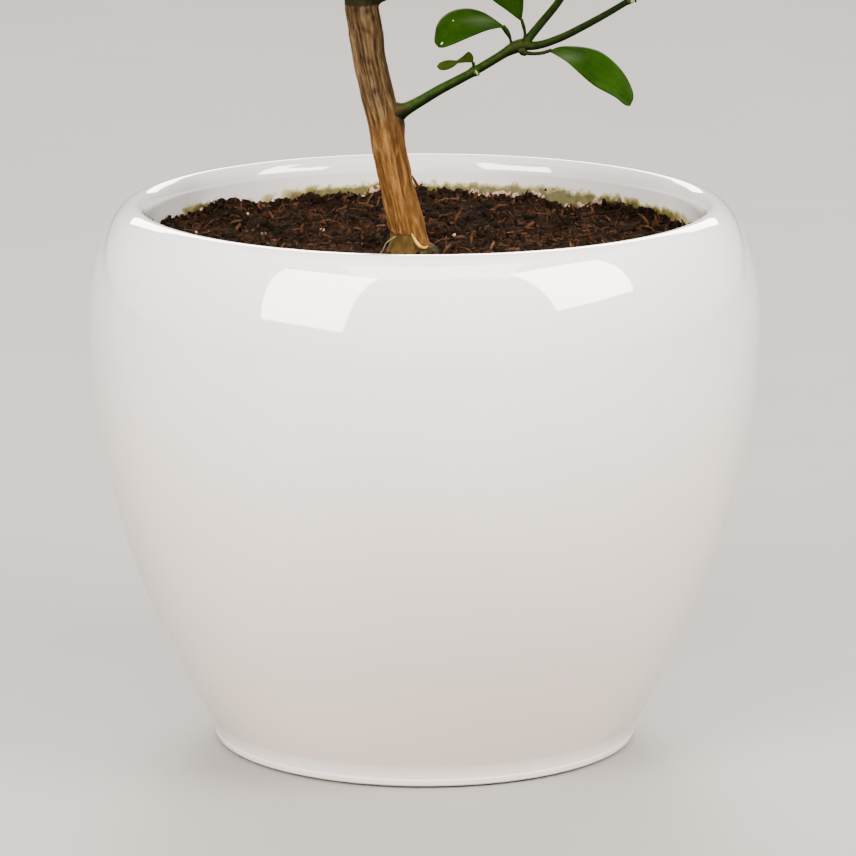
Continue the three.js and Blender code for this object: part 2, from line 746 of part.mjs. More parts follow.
const trunkTop = vector(TRUNK.top);
const leaderPoints = [trunkTop.clone().addScaledVector(UP, -LEADER.sunk),
  ...LEADER.path.map(vector), vector(LEADER.tip)];
const leader = makeBoughLimb('bough_leader', leaderPoints,
  [LEADER.rootRadius, LEADER.tipRadius], FACETS.leader);
addLimb(leader, COLOURS.bark);

function onLeader(height) {
  const steps = 200;
  let step = 0;
  while (step < steps && leader.curve.getPointAt(step / steps).z < height) step += 1;
  return leader.curve.getPointAt(step / steps);
}

const masses = [];

function addRing(ring, level) {
  ring.turns.forEach((turn, index) => {
    const name = `${level}_${index + 1}`;
    const { points, away } = makeCrownBough(ring, index, onLeader);
    const radii = [ring.rootRadius, ring.tipRadius];
    const bough = makeBoughLimb(`bough_${name}`, points, radii, FACETS.bough);
    addLimb(bough, COLOURS.bark);
    const middle = new THREE.Vector3(CROWN.x, CROWN.y, ring.heights[index])
      .addScaledVector(away, ring.out);
    masses.push({ name: `mass_${name}`, middle, radius: ring.radius, bough, seed: ring.seeds[index] });
  });
}

addRing(LOW_RING, 'low');
addRing(HIGH_RING, 'high');
masses.push({
  name: 'mass_top',
  middle: new THREE.Vector3(CROWN.x, CROWN.y, TOP.height),
  radius: TOP.radius,
  bough: leader,
  seed: TOP.seed,
});
masses.push({
  name: 'mass_shoot',
  middle: vector(SHOOT_MASS.middle),
  radius: SHOOT_MASS.radius,
  bough: shoot,
  seed: SHOOT_MASS.seed,
});

const beads = limbBeads(limbs);
masses.forEach((mass, index) => {
  const inside = makeSpace(masses, index);
  mass.from = mass.bough.curve.getPointAt(1);
  mass.heading = mass.bough.curve.getTangentAt(1);
  const grow = mass.name === 'mass_shoot' ? growShootMass : growMass;
  const growth = grow(mass, inside, beads);
  tree.add(nodeMesh(mass.name, massGeometry(growth), COLOURS.leaf));
});

export default tree;
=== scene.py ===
"""Dresses the potted calamondin orange tree: glaze, soil, bark, leaves and fruit.

Sizes are in millimetres, as in the part's source, and make_piece turns them into metres.
The limbs, stems and twigs follow the same named sizes and the same seeded rule as the
solids. Where a solid has one large leaf, a fine twig with several true leaves stands.
"""

import math
from itertools import product

import bmesh
import bpy
import numpy as np
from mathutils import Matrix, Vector


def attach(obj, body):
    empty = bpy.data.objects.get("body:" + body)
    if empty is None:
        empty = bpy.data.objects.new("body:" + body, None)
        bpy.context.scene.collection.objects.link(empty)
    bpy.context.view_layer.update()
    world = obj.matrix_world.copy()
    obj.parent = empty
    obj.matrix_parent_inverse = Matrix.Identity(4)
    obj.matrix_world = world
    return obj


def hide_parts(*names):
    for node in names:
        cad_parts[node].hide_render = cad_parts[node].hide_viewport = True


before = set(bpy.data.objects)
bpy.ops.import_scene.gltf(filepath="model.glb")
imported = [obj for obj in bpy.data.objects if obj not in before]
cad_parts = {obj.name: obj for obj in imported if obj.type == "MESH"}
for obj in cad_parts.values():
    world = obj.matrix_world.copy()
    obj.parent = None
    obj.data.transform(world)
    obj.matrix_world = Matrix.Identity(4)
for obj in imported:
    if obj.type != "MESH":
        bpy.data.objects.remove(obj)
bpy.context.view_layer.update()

MM = 0.001
FOLIAGE = ["mass_top", "mass_shoot"]
FOLIAGE += [f"mass_low_{i}" for i in range(1, 6)] + [f"mass_high_{i}" for i in range(1, 5)]

# ---------------------------------------------------------------- driving dimensions

POT = dict(
    height=178.7, ridge_radius=94.7, mouth_radius=91.6,
    belly_radius=110, belly_height=143.5, foot_radius=67.3, foot_round=1.7,
    foot_slope=0.6112, foot_pull=0.4576, belly_pull=0.1941, shoulder_powers=(0.971, 1.314),
    inner_top=168, inner_bottom=150,  # the straight part of the inner wall, down to below the soil
    foot_ring=6.5,  # the unglazed ring underneath, with a hollow inside it
    # Points of the hollow and of the ring's two edges, outward from each edge and up.
    hollow=[(-3, 2.2), (-1.2, 1.76), (-0.3, 0.5), (0.5, 0)],
    ring_edge=[(-0.3, 0), (0, 0.1), (0.2, 0.48)],
    foot_band=7.8, foot_band_slope=0.30, foot_band_out=0.1, edge_round=1.3,
    foot_step=0.7, step_below=3.4, step_above=1.4,  # the step over the band, and its reach
    foot_set_back=2.4, foot_lift=0.6,  # the glaze ends clear of the ground, round the ring
    lip_width=3.7, lip_roll=6.2,  # the lip rounds over inwards and down by these
)
SOIL = dict(
    level=166, right_drop=1.6, slope_from=-20, bump=1.3, flat_radius=15, blend_radius=34,
    waves=(0.083, 1.1, 0.096, -0.4), cross_waves=(0.6, 0.17, -0.14), settled=0.2,
    # Height, size and seed of each grade of lumps, which fade out round the trunk.
    relief=[(1.3, 9, 11), (1.0, 4.2, 12), (0.6, 1.9, 13), (0.3, 0.9, 14)], calm=(9, 18),
    # It is banked up at the wall, left and right, and lower at the back, left of the trunk.
    bank_out=(80, 91), bank_left=1.8, bank_left_x=[(10, -55), (-90, -72)],
    bank_right=2.2, bank_right_x=(40, 85),
    dip=2.3, dip_out=(58, 86), dip_x=[(-66, -52), (-12, -22)], dip_y=(20, 60),
)
GAP = 0.3
TRUNK = dict(
    foot=(-4.5, -18, SOIL["level"] + GAP), sunk=6,
    axis=[(-5.9, -16.9, 173.6), (-7.2, -16.2, 178.7), (-10.1, -14.3, 191.5), (-13.4, -12.1, 207),
          (-15.6, -10.9, 216), (-18.1, -9.2, 227.2), (-19.8, -7.6, 238), (-20.2, -6.9, 244)],
    top=(-19.4, -6.2, 252), radius=5.35, flare=2.5, flare_height=5,
    collar_height=213, collar=0.35, collar_spread=6, fork=1.3, fork_spread=5,
)
SHOOT = dict(root=(-9.5, -11.6, 210.6), bend=(-1.6, -13, 214), tip=(13.6, -15.7, 222.6),
             radii=(1.75, 1.5))
CROWN = dict(x=-3, y=2, bough_bow=4, bough_sag=3)
LEADER = dict(
    path=[(-18.6, -5.4, 262), (-15, -3.5, 290), (-9, 0, 335), (-5, 2, 385)],
    tip=(-3.5, 2.5, 428), sunk=3, radii=(4.5, 2.2),
)
LOW_RING = dict(
    out=85, heights=(334, 356, 338, 362, 342), turns=(-14, 128, 204, 58, 274), radius=72,
    start=251, step=10, tip_out=42, tip_below=36, radii=(3.1, 2), seeds=(121, 229, 311, 417, 529),
)
HIGH_RING = dict(
    out=72, heights=(426, 408, 432, 404), turns=(24, 205, 112, 296), radius=72,
    start=318, step=12, tip_out=32, tip_below=32, radii=(2.6, 1.8), seeds=(612, 710, 827, 906),
)
TOP = dict(height=484, radius=76, seed=1021)

RULE = dict(
    turn=math.radians(137.5), try_turn=1.25, margin=1, limb_clearance=1.2,
    stem_end=0.28, stem_aim=60, stem_pull=0.4, stem_radius=(1.7, 1), stem_steps=5,
    twigs=8, twig_from=0.12, twig_radius=(1.1, 0.65), twig_lean=(1.15, 0.55),
    twig_length=(12, 40), twig_enough=1.5, twig_rise=0.14, twig_tries=6, twig_steps=2,
    leaves=5, leaf_from=0.3, leaf_to=0.9, leaf_lean=0.95, end_leaf_at=0.97, end_leaf_lean=0.2,
    leaf_tries=5, leaf_droop=(0.3, 0.7), leaf_face=0.7, leaf_spacing=9, leaf_reach=1.1,
    leaf_length=(42, 51), leaf_width=0.52, leaf_widest=0.46, leaf_fold=0.2, leaf_arch=0.06,
    leaf_root=0.1,  # the tests for touching leave out this much of a leaf at its root
)
FRUIT = dict(
    radius=14, squash=0.93, sink=3, clearance=1.5, hang=0.9, first_twig=2,
    rows=28, segments=40, peel=0.99, lump=0.012, lump_size=0.5,
    top_hollow=(0.1, 0.25), end_hollow=(0.04, 0.2),  # depth and reach, in radians
)
SHOOT_MASS = dict(
    middle=(46, -17, 250), radius=50, seed=1103, fork=(32.2, -18, 233.2),
    twigs=[[(31.2, -18, 232.4), (36.9, -16, 239.2), (44.3, -12, 246.4), (52, -6, 262),
            (54, -4, 276)],
           [(31.2, -18, 232.8), (43.3, -20, 234.3), (54, -21.6, 239.4), (66.4, -23, 247.3),
            (70, -21, 268)]],
    twig_radii=[(1.3, 0.8), (1.25, 0.75)], twig_steps=7,
    leaf_from=0.62, leaf_count=6, leaf_length=(31, 36), face=(0.2, -0.3, 1),
)

# A solid's leaf becomes a spray: a fine twig with leaves of life size.
SPRAY = dict(
    reach=0.36,  # length of the fine twig, as a share of the solid's leaf
    rise=0.03, bow=0.02, radii=(0.55, 0.35), rows=5, sides=4,
    leaves=4, leaf_from=0.15, leaf_to=0.85, leaf_lean=0.85, lean_step=0.1, tries=4,
    leaf_length=(27, 38), leaf_width=0.47, droop=(0.0, 0.5), face=(0.4, 1.2), spacing=5,
    limb_clearance=0.5, fruit_clearance=1, seed_step=64,
)

# ---------------------------------------------------------------- small helpers

UP = np.array((0.0, 0.0, 1.0))


def vec(values):
    return np.array(values, float)


def unit(v):
    return v / np.linalg.norm(v)


def mix(a, b, t):
    return a + (b - a) * t


def smoothstep(x, low, high):
    t = np.clip((x - low) / (high - low), 0, 1)
    return t * t * (3 - 2 * t)


def rotate(v, axis, angle):
    c, s = math.cos(angle), math.sin(angle)
    return v * c + np.cross(axis, v) * s + axis * np.dot(axis, v) * (1 - c)


def random_from(seed):
    """The source's random numbers: the same seed gives the same tree."""
    state = seed

    def draw():
        nonlocal state
        state = (state + 0x6D2B79F5) & 0xFFFFFFFF
        bits = ((state ^ (state >> 15)) * (state | 1)) & 0xFFFFFFFF
        bits = (bits ^ (bits + (bits ^ (bits >> 7)) * (bits | 61))) & 0xFFFFFFFF
        return (bits ^ (bits >> 14)) / 0x100000000

    return draw


def bell(x, middle, spread):
    """1 at the middle, falling smoothly to nothing a few spreads away."""
    return np.exp(-((x - middle) / spread) ** 2)


def full_turn(count):
    """Angles evenly round a circle."""
    return np.arange(count) * 2 * math.pi / count


def away_from(turn):
    """The level direction at an angle."""
    return np.array((math.cos(turn), math.sin(turn), 0))


def noise(points, size, seed=0):
    """Smooth random values from -1 to 1 at many points, with bumps about one size across."""
    place = np.asarray(points, float) / size + 31.7 * seed
    cell = np.floor(place).astype(np.int64)
    share = place - cell
    share = share * share * (3 - 2 * share)
    total = np.zeros(len(place))
    for corner in product((0, 1), repeat=3):
        at = (cell + np.array(corner)) & 0xFFFFF
        mixed = (at[:, 0] * 73856093) ^ (at[:, 1] * 19349663) ^ (at[:, 2] * 83492791)
        mixed = (mixed * 2654435761 + seed * 97) & 0xFFFFFFFF
        mixed = ((mixed ^ (mixed >> 15)) * 2246822519) & 0xFFFFFFFF
        mixed ^= mixed >> 13
        weight = np.prod(np.where(corner, share, 1 - share), axis=1)
        total += weight * (mixed / 0xFFFFFFFF)
    return 2 * total - 1


class Curve:
    """A curve followed by its length, as a share from 0 to 1."""

    DIVISIONS = 200

    def __init__(self, point_at):
        self.point_at = point_at
        self.marks = np.linspace(0, 1, self.DIVISIONS + 1)
        samples = np.array([point_at(t) for t in self.marks])
        steps = np.linalg.norm(np.diff(samples, axis=0), axis=1)
        self.lengths = np.concatenate([[0], np.cumsum(steps)])
        self.length = self.lengths[-1]

    def mark(self, share):
        return np.interp(share * self.length, self.lengths, self.marks)

    def at(self, share):
        return self.point_at(self.mark(share))

    def heading(self, share):
        t = self.mark(share)
        return unit(self.point_at(min(t + 1e-4, 1)) - self.point_at(max(t - 1e-4, 0)))

    def points(self, count):
        return np.array([self.at(i / (count - 1)) for i in range(count)])


def smooth_curve(points):
    """A centripetal Catmull-Rom curve through the points."""
    points = [vec(p) for p in points]
    whole = [2 * points[0] - points[1], *points, 2 * points[-1] - points[-2]]
    last = len(points) - 2

    def point_at(t):
        place = t * (len(points) - 1)
        i = min(int(place), last)
        s = place - i
        p0, p1, p2, p3 = whole[i:i + 4]
        d0, d1, d2 = (math.sqrt(np.linalg.norm(b - a)) for a, b in ((p0, p1), (p1, p2), (p2, p3)))
        out = ((p1 - p0) / d0 - (p2 - p0) / (d0 + d1) + (p2 - p1) / d1) * d1
        into = ((p2 - p1) / d1 - (p3 - p1) / (d1 + d2) + (p3 - p2) / d2) * d1
        square = -3 * p1 + 3 * p2 - 2 * out - into
        cube = 2 * p1 - 2 * p2 + out + into
        return p1 + out * s + square * s * s + cube * s ** 3

    return Curve(point_at)


def bent_curve(start, bend, end):
    return Curve(lambda t: (1 - t) ** 2 * start + 2 * t * (1 - t) * bend + t * t * end)


# ---------------------------------------------------------------- meshes

def make_piece(name, points, faces, material, slot, replaces=()):
    """A mesh from points in millimetres and arrays of three- and four-sided faces."""
    faces = [np.asarray(f, np.int32) for f in faces if len(f)]
    corners = np.concatenate([f.ravel() for f in faces])
    sizes = np.concatenate([np.full(len(f), f.shape[1], np.int32) for f in faces])
    mesh = bpy.data.meshes.new(name)
    mesh.vertices.add(len(points))
    mesh.vertices.foreach_set("co", (np.asarray(points) * MM).astype(np.float32).ravel())
    mesh.loops.add(len(corners))
    mesh.loops.foreach_set("vertex_index", corners)
    mesh.polygons.add(len(sizes))
    mesh.polygons.foreach_set("loop_start", np.concatenate([[0], np.cumsum(sizes)[:-1]]))
    mesh.polygons.foreach_set("use_smooth", np.full(len(sizes), True))
    mesh.update(calc_edges=True)
    mesh.validate()
    mesh.materials.append(material)
    piece = bpy.data.objects.new(name, mesh)
    bpy.context.scene.collection.objects.link(piece)
    if slot:
        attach(piece, "root")
    if replaces:
        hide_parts(*replaces)
    return piece


class Pile:
    """Many small closed shapes gathered into one mesh."""

    def __init__(self):
        self.points, self.quads, self.triangles, self.count = [], [], [], 0

    def add(self, points, quads=(), triangles=()):
        self.points.append(points)
        if len(quads):
            self.quads.append(np.asarray(quads) + self.count)
        if len(triangles):
            self.triangles.append(np.asarray(triangles) + self.count)
        self.count += len(points)

    def piece(self, name, material, slot, replaces=()):
        faces = [np.concatenate(kind) for kind in (self.quads, self.triangles) if kind]
        return make_piece(name, np.concatenate(self.points), faces, material, slot, replaces)


def grid_faces(rows, columns):
    """Faces over rows of points, each row joined round to its own start."""
    across = np.arange(columns)
    along = np.arange(rows - 1)[:, None] * columns
    a = along + across
    b = along + (across + 1) % columns
    return np.stack([a, b, b + columns, a + columns], axis=-1).reshape(-1, 4)


def fan(centre, ring):
    """Triangles from one point to a closed ring of others."""
    return np.stack([np.full(len(ring), centre), ring, np.roll(ring, -1)], axis=1)


def beside(way):
    """A direction that is never along this one."""
    return UP if abs(way[2]) < 0.9 else np.array((1.0, 0, 0))


def frames_along(points):
    """Directions along a path and two across it that turn as little as they can."""
    ways = np.gradient(points, axis=0)
    ways /= np.linalg.norm(ways, axis=1)[:, None]
    side = np.cross(ways[0], beside(ways[0]))
    sides = []
    for way in ways:
        side = unit(side - way * np.dot(side, way))
        sides.append(side)
    sides = np.array(sides)
    return ways, sides, np.cross(ways, sides)


def tube(points, radii, sides):
    """A closed tube of many sides along a path. Radii may differ by row and by side."""
    points = np.asarray(points, float)
    rows = len(points)
    radii = np.broadcast_to(np.asarray(radii, float).reshape(rows, -1), (rows, sides))
    _, across, upward = frames_along(points)
    angles = full_turn(sides)
    ring = (across[:, None] * np.cos(angles)[None, :, None]
            + upward[:, None] * np.sin(angles)[None, :, None])
    skin = points[:, None] + ring * radii[..., None]
    whole = np.concatenate([skin.reshape(-1, 3), points[[0, -1]]])
    first = np.arange(sides)
    start, end = fan(rows * sides, first)[:, [0, 2, 1]], fan(rows * sides + 1, first)
    end[:, 1:] += (rows - 1) * sides
    return whole, grid_faces(rows, sides), np.concatenate([start, end])


def turned(profile, segments):
    """Points and faces of a profile of (radius, height) turned about the z axis."""
    profile = np.asarray(profile, float)
    angles = full_turn(segments)
    x = profile[:, :1] * np.cos(angles)
    y = profile[:, :1] * np.sin(angles)
    z = np.repeat(profile[:, 1:], segments, axis=1)
    points = np.stack([x, y, z], axis=-1).reshape(-1, 3)
    return points, grid_faces(len(profile), segments)


# ---------------------------------------------------------------- limbs, as in the source

class Limb:
    """A curve with a radius along it. Twigs also keep what their leaves and fruit need."""

    bears = False  # whether a fruit hangs from its tip

    def __init__(self, curve, radius_at, steps=1, name=None):
        self.curve, self.radius_at, self.steps, self.name = curve, radius_at, steps, name

    def middle(self, share):
        """The middle of the solid's facets at a share of the way, where a leaf roots."""
        row = min(int(share * self.steps), self.steps - 1)
        start, end = (self.curve.at(r / self.steps) for r in (row, row + 1))
        return start + (end - start) * (share * self.steps - row)

    def radii(self, shares):
        return np.array([self.radius_at(s) for s in shares])


def taper(radii):
    return lambda share: mix(*radii, share)


def trunk_radius(height):
    above_foot = np.maximum(height - TRUNK["foot"][2], 0)
    return (TRUNK["radius"] + TRUNK["flare"] * np.exp(-above_foot / TRUNK["flare_height"])
            + TRUNK["collar"] * bell(height, TRUNK["collar_height"], TRUNK["collar_spread"])
            + TRUNK["fork"] * bell(height, TRUNK["top"][2], TRUNK["fork_spread"]))


def trunk_limb():
    foot = vec(TRUNK["foot"])
    lean = unit(vec(TRUNK["axis"][0]) - foot)
    curve = smooth_curve([foot - lean * TRUNK["sunk"], foot, *TRUNK["axis"], TRUNK["top"]])
    return Limb(curve, lambda share: trunk_radius(curve.at(share)[2]))


def crown_bough(ring, index, on_leader):
    """A bough's curve from the leader, and the middle of the mass that it carries."""
    away = away_from(math.radians(ring["turns"][index]))
    root = on_leader(ring["start"] + ring["step"] * index)
    middle = np.array((CROWN["x"], CROWN["y"], ring["heights"][index]))
    tip = middle - UP * ring["tip_below"] + away * ring["tip_out"]
    bend = (root + tip) / 2 + away * CROWN["bough_bow"] - UP * CROWN["bough_sag"]
    return smooth_curve([root, bend, tip]), middle + away * ring["out"]


def grow_limbs():
    """The trunk, the shoot, the leader, the crown's boughs, and the masses that they carry."""
    shoot = Limb(smooth_curve([SHOOT["root"], SHOOT["bend"], SHOOT["tip"]]),
                 taper(SHOOT["radii"]))
    start = vec(TRUNK["top"]) - UP * LEADER["sunk"]
    leader = Limb(smooth_curve([start, *LEADER["path"], LEADER["tip"]]), taper(LEADER["radii"]))
    boughs, masses = [], []

    def on_leader(height):
        """The leader's first point, of the source's many, at a height or above it."""
        steps = Curve.DIVISIONS
        step = 0
        while step < steps and leader.curve.at(step / steps)[2] < height:
            step += 1
        return leader.curve.at(step / steps)

    for level, ring in (("low", LOW_RING), ("high", HIGH_RING)):
        for index, seed in enumerate(ring["seeds"]):
            curve, middle = crown_bough(ring, index, on_leader)
            name = f"{level}_{index + 1}"
            boughs.append(Limb(curve, taper(ring["radii"]), name=f"bough_{name}"))
            masses.append(dict(name=f"mass_{name}", middle=middle, radius=ring["radius"],
                               bough=boughs[-1], seed=seed))
    top = np.array((CROWN["x"], CROWN["y"], TOP["height"]))
    masses.append(dict(name="mass_top", middle=top, radius=TOP["radius"], bough=leader,
                       seed=TOP["seed"]))
    masses.append(dict(name="mass_shoot", middle=vec(SHOOT_MASS["middle"]),
                       radius=SHOOT_MASS["radius"], bough=shoot, seed=SHOOT_MASS["seed"]))
    return trunk_limb(), shoot, leader, boughs, masses


def limb_beads(limbs):
    """Points along every limb with its radius there, for keeping leaves off the wood."""
    spacing = 4
    places, radii = [], []
    for limb in limbs:
        count = math.ceil(limb.curve.length / spacing)
        for i in range(count + 1):
            places.append(limb.curve.at(i / count))
            radii.append(limb.radius_at(i / count))
    return np.array(places), np.array(radii, float)


def clear_of(beads, point, spare):
    places, radii = beads
    return bool(np.all(np.linalg.norm(places - point, axis=1) > radii + spare))


def make_space(masses, own):
    """A test for whether a point lies in a mass's ball and on its side of each neighbour."""
    others = [mass for mass in masses if mass is not own]
    middles = np.array([mass["middle"] for mass in others])
    squares = np.array([mass["radius"] ** 2 for mass in others])
    spans = 2 * np.linalg.norm(middles - own["middle"], axis=1)

    def inside(point, spare=0):
        away = np.linalg.norm(point - own["middle"])
        if away + spare > own["radius"]:
            return False
        powers = np.sum((point - middles) ** 2, axis=1) - squares
        room = (powers - (away ** 2 - own["radius"] ** 2)) / spans
        return bool(np.all(room >= RULE["margin"] + spare))

    return inside


# ---------------------------------------------------------------- the source's seeded rule

def branch_off(axis, lean, turn):
    side = unit(np.cross(axis, beside(axis)))
    return unit(rotate(rotate(axis, side, lean), axis, turn))


def free_way(start, direction, most, inside, beads):
    """How far a twig may go before it leaves its mass's space or nears a limb."""
    step, own_limb, length = 3, 9, 0
    while length < most:
        ahead = start + direction * (length + step)
        if not inside(ahead):
            break
        if length + step > own_limb and not clear_of(beads, ahead, 2 * RULE["limb_clearance"]):
            break
        length += step
    return length


def make_leaf(root, tip, face, width):
    """A leaf of the source: its middle, its corners and its two flat halves."""
    length = np.linalg.norm(tip - root)
    along = (tip - root) / length
    side = unit(np.cross(along, face))
    up = np.cross(side, along)

    def at(share, across):
        fold = RULE["leaf_fold"] * abs(across) * width / 2
        arch = RULE["leaf_arch"] * length * 4 * share * (1 - share)
        return root + along * length * share + side * across * width / 2 + up * (fold + arch)

    sides = [at(RULE["leaf_widest"], across) for across in (1, -1)]
    halves = np.array([[at(RULE["leaf_root"], 0), corner, tip] for corner in sides])
    middle = at(0.5, 0)
    return dict(root=root, tip=tip, face=face, middle=middle,
                corners=[middle, tip, *sides], halves=halves)


def any_meet(starts, ends, triangles):
    """Whether any segment cuts any triangle."""
    way = (ends - starts)[:, None]
    a, b, c = (triangles[None, :, i] for i in range(3))
    edge1, edge2 = b - a, c - a
    across = np.cross(way, edge2)
    scale = np.sum(edge1 * across, axis=-1)
    scale = np.where(np.abs(scale) < 1e-9, np.inf, scale)
    offset = starts[:, None] - a
    swing = np.cross(offset, edge1)
    u = np.sum(offset * across, axis=-1) / scale
    v = np.sum(way * swing, axis=-1) / scale
    along = np.sum(edge2 * swing, axis=-1) / scale
    hit = (u >= 0) & (v >= 0) & (u + v <= 1) & (along >= 0) & (along <= 1) & np.isfinite(scale)
    return bool(hit.any())


def edges_of(triangles):
    return triangles.reshape(-1, 3), np.roll(triangles, -1, axis=1).reshape(-1, 3)


def leaf_is_free(leaf, own, growth, inside, beads):
    """Whether a leaf stays in its space and off the wood, the fruit and other growth."""
    if not all(inside(p) and clear_of(beads, p, RULE["limb_clearance"]) for p in leaf["corners"]):
        return False
    if growth["leaves"]:
        middles = np.array([other["middle"] for other in growth["leaves"]])
        far = np.linalg.norm(middles - leaf["middle"], axis=1)
        if far.min() < RULE["leaf_spacing"]:
            return False
        reach = RULE["leaf_length"][1] * RULE["leaf_reach"]
        near = [other["halves"] for other, d in zip(growth["leaves"], far) if d <= reach]
        if near:
            near = np.concatenate(near)
            if any_meet(*edges_of(leaf["halves"]), near):
                return False
            if any_meet(*edges_of(near), leaf["halves"]):
                return False
    lines = np.array([[twig.curve.at(s) for s in (0, 0.5, 1)]
                      for twig in growth["twigs"] if twig is not own])
    if len(lines):
        starts, ends = lines[:, :2].reshape(-1, 3), lines[:, 1:].reshape(-1, 3)
        if any_meet(starts, ends, leaf["halves"]):
            return False
    return all(np.linalg.norm(p - fruit) > FRUIT["radius"] + FRUIT["clearance"]
               for fruit in growth["fruits"] for p in leaf["corners"])


def grow_stem(mass):
    start = mass["from"] + mass["heading"] * GAP
    aim = np.array((CROWN["x"], CROWN["y"], mass["middle"][2] - RULE["stem_aim"]))
    tip = mass["middle"] + unit(mass["middle"] - aim) * mass["radius"] * RULE["stem_end"]
    pull = np.linalg.norm(tip - start) * RULE["stem_pull"]
    curve = bent_curve(start, start + mass["heading"] * pull, tip)
    return Limb(curve, taper(RULE["stem_radius"]), RULE["stem_steps"])


def grow_twig(stem, index, draw, inside, beads):
    """A twig the way that has most room, or nothing where every way is short."""
    share = mix(RULE["twig_from"], 1, index / (RULE["twigs"] - 1))
    root = stem.middle(share)
    axis = stem.curve.heading(share)
    lean = mix(*RULE["twig_lean"], share)
    end_leaf = mix(*RULE["leaf_length"], draw())
    shortest, longest = RULE["twig_length"]
    best, best_direction = 0, None
    for tries in range(RULE["twig_tries"]):
        if best >= shortest * RULE["twig_enough"]:
            break
        turn = index * RULE["turn"] + tries * RULE["try_turn"]
        direction = unit(branch_off(axis, lean, turn) + UP * RULE["twig_rise"])
        way = free_way(root, direction, longest + end_leaf, inside, beads) - end_leaf
        if way > best:
            best, best_direction = way, direction
    if best < shortest:
        return None
    tip = root + best_direction * best
    bend = (root + tip) / 2 - UP * best * RULE["twig_rise"] / 2
    twig = Limb(bent_curve(root, bend, tip), taper(RULE["twig_radius"]), RULE["twig_steps"])
    twig.turn, twig.tip, twig.direction = index * RULE["turn"], tip, best_direction
    return twig


def hang_fruit(twig, inside, beads):
    hang = unit(twig.direction - UP * FRUIT["hang"])
    middle = twig.tip + hang * (FRUIT["radius"] - FRUIT["sink"])
    free = inside(middle, FRUIT["radius"])
    free = free and clear_of(beads, middle, FRUIT["radius"] + RULE["limb_clearance"])
    return middle if free else None


def add_leaf(mass, growth, draw, inside, beads, twig, share, lean, turn):
    """A leaf on a twig, turned on until it is free, or none where it never is."""
    root = twig.middle(share)
    along = twig.curve.heading(share)
    length = mix(*RULE["leaf_length"], draw())
    for tries in range(RULE["leaf_tries"]):
        direction = branch_off(along, lean, turn + tries * RULE["try_turn"])
        direction = unit(direction - UP * mix(*RULE["leaf_droop"], draw()))
        tip = root + direction * length
        face = unit(tip - mass["middle"]) + UP * RULE["leaf_face"]
        leaf = make_leaf(root, tip, face, length * RULE["leaf_width"])
        if leaf_is_free(leaf, twig, growth, inside, beads):
            growth["leaves"].append(leaf)
            return


def grow_mass(mass, inside, beads):
    """The twigs, leaves and fruit of one of the crown's masses, as in the source."""
    draw = random_from(mass["seed"])
    stem = grow_stem(mass)
    growth = dict(twigs=[stem], leaves=[], fruits=[])
    for i in range(RULE["twigs"]):
        twig = grow_twig(stem, i, draw, inside, beads)
        if twig is None:
            continue
        growth["twigs"].append(twig)
        if growth["fruits"] or i < FRUIT["first_twig"]:
            continue
        fruit = hang_fruit(twig, inside, beads)
        if fruit is not None:
            growth["fruits"].append(fruit)
            twig.bears = True
    for twig in growth["twigs"][1:]:
        place = (mass, growth, draw, inside, beads, twig)
        if not twig.bears:
            add_leaf(*place, RULE["end_leaf_at"], RULE["end_leaf_lean"], twig.turn)
        for i in range(RULE["leaves"]):
            share = mix(RULE["leaf_from"], RULE["leaf_to"], i / (RULE["leaves"] - 1))
            add_leaf(*place, share, RULE["leaf_lean"], twig.turn + (i + 1) * RULE["turn"])
    return growth


def grow_shoot_mass(mass, inside, beads):
    """The low shoot's upper leaves. Those near its fork are made one by one further down."""
    draw = random_from(mass["seed"])
    growth = dict(twigs=[], leaves=[], fruits=[])
    last = SHOOT_MASS["leaf_count"] - 1
    for points, radii in zip(SHOOT_MASS["twigs"], SHOOT_MASS["twig_radii"]):
        twig = Limb(smooth_curve(points), taper(radii), SHOOT_MASS["twig_steps"])
        growth["twigs"].append(twig)
        for i in range(last + 1):
            share = mix(SHOOT_MASS["leaf_from"], RULE["end_leaf_at"], i / last)
            root = twig.middle(share)
            length = mix(*SHOOT_MASS["leaf_length"], draw())
            lean = RULE["end_leaf_lean"] if i == last else RULE["leaf_lean"]
            for tries in range(RULE["leaf_tries"]):
                turn = i * RULE["turn"] + tries * RULE["try_turn"]
                tip = root + branch_off(twig.curve.heading(share), lean, turn) * length
                leaf = make_leaf(root, tip, vec(SHOOT_MASS["face"]), length * RULE["leaf_width"])
                if min(p[2] for p in leaf["corners"]) <= TRUNK["top"][2]:
                    continue
                if leaf_is_free(leaf, twig, growth, inside, beads):
                    growth["leaves"].append(leaf)
                    break
    return growth


# ---------------------------------------------------------------- leaves and fruit

LEAF = dict(
    rows=(0, 0.05, 0.1, 0.14, 0.18, 0.25, 0.36, 0.5, 0.64, 0.77, 0.87, 0.95, 1),
    columns=4, stalk=0.14, stalk_half=0.055, wing_half=0.12, blade_powers=(0.85, 0.58),
    tip_half=0.07, thickness=0.42, stalk_thickness=0.9, thins_over=0.1, above=0.3,
    bends=dict(fold=(0.1, 0.42), arch=(0.0, 0.09), curl=(-0.02, 0.16)),  # least and most
)


def leaf_outline(share):
    """Half the leaf's width at places along it: a stalk with a narrow wing, then the blade."""
    share = np.asarray(share, float)
    base, end = LEAF["blade_powers"]
    widest = base / (base + end)
    t = np.clip((share - LEAF["stalk"]) / (1 - LEAF["stalk"]), 0, 1)
    blade = t ** base * (1 - t) ** end / (widest ** base * (1 - widest) ** end)
    wing = np.sin(math.pi * np.clip(share / LEAF["stalk"], 0, 1)) ** 2
    stalk = mix(LEAF["stalk_half"], LEAF["wing_half"], wing)
    return np.where(share < LEAF["stalk"], stalk, np.maximum(blade, LEAF["tip_half"]))


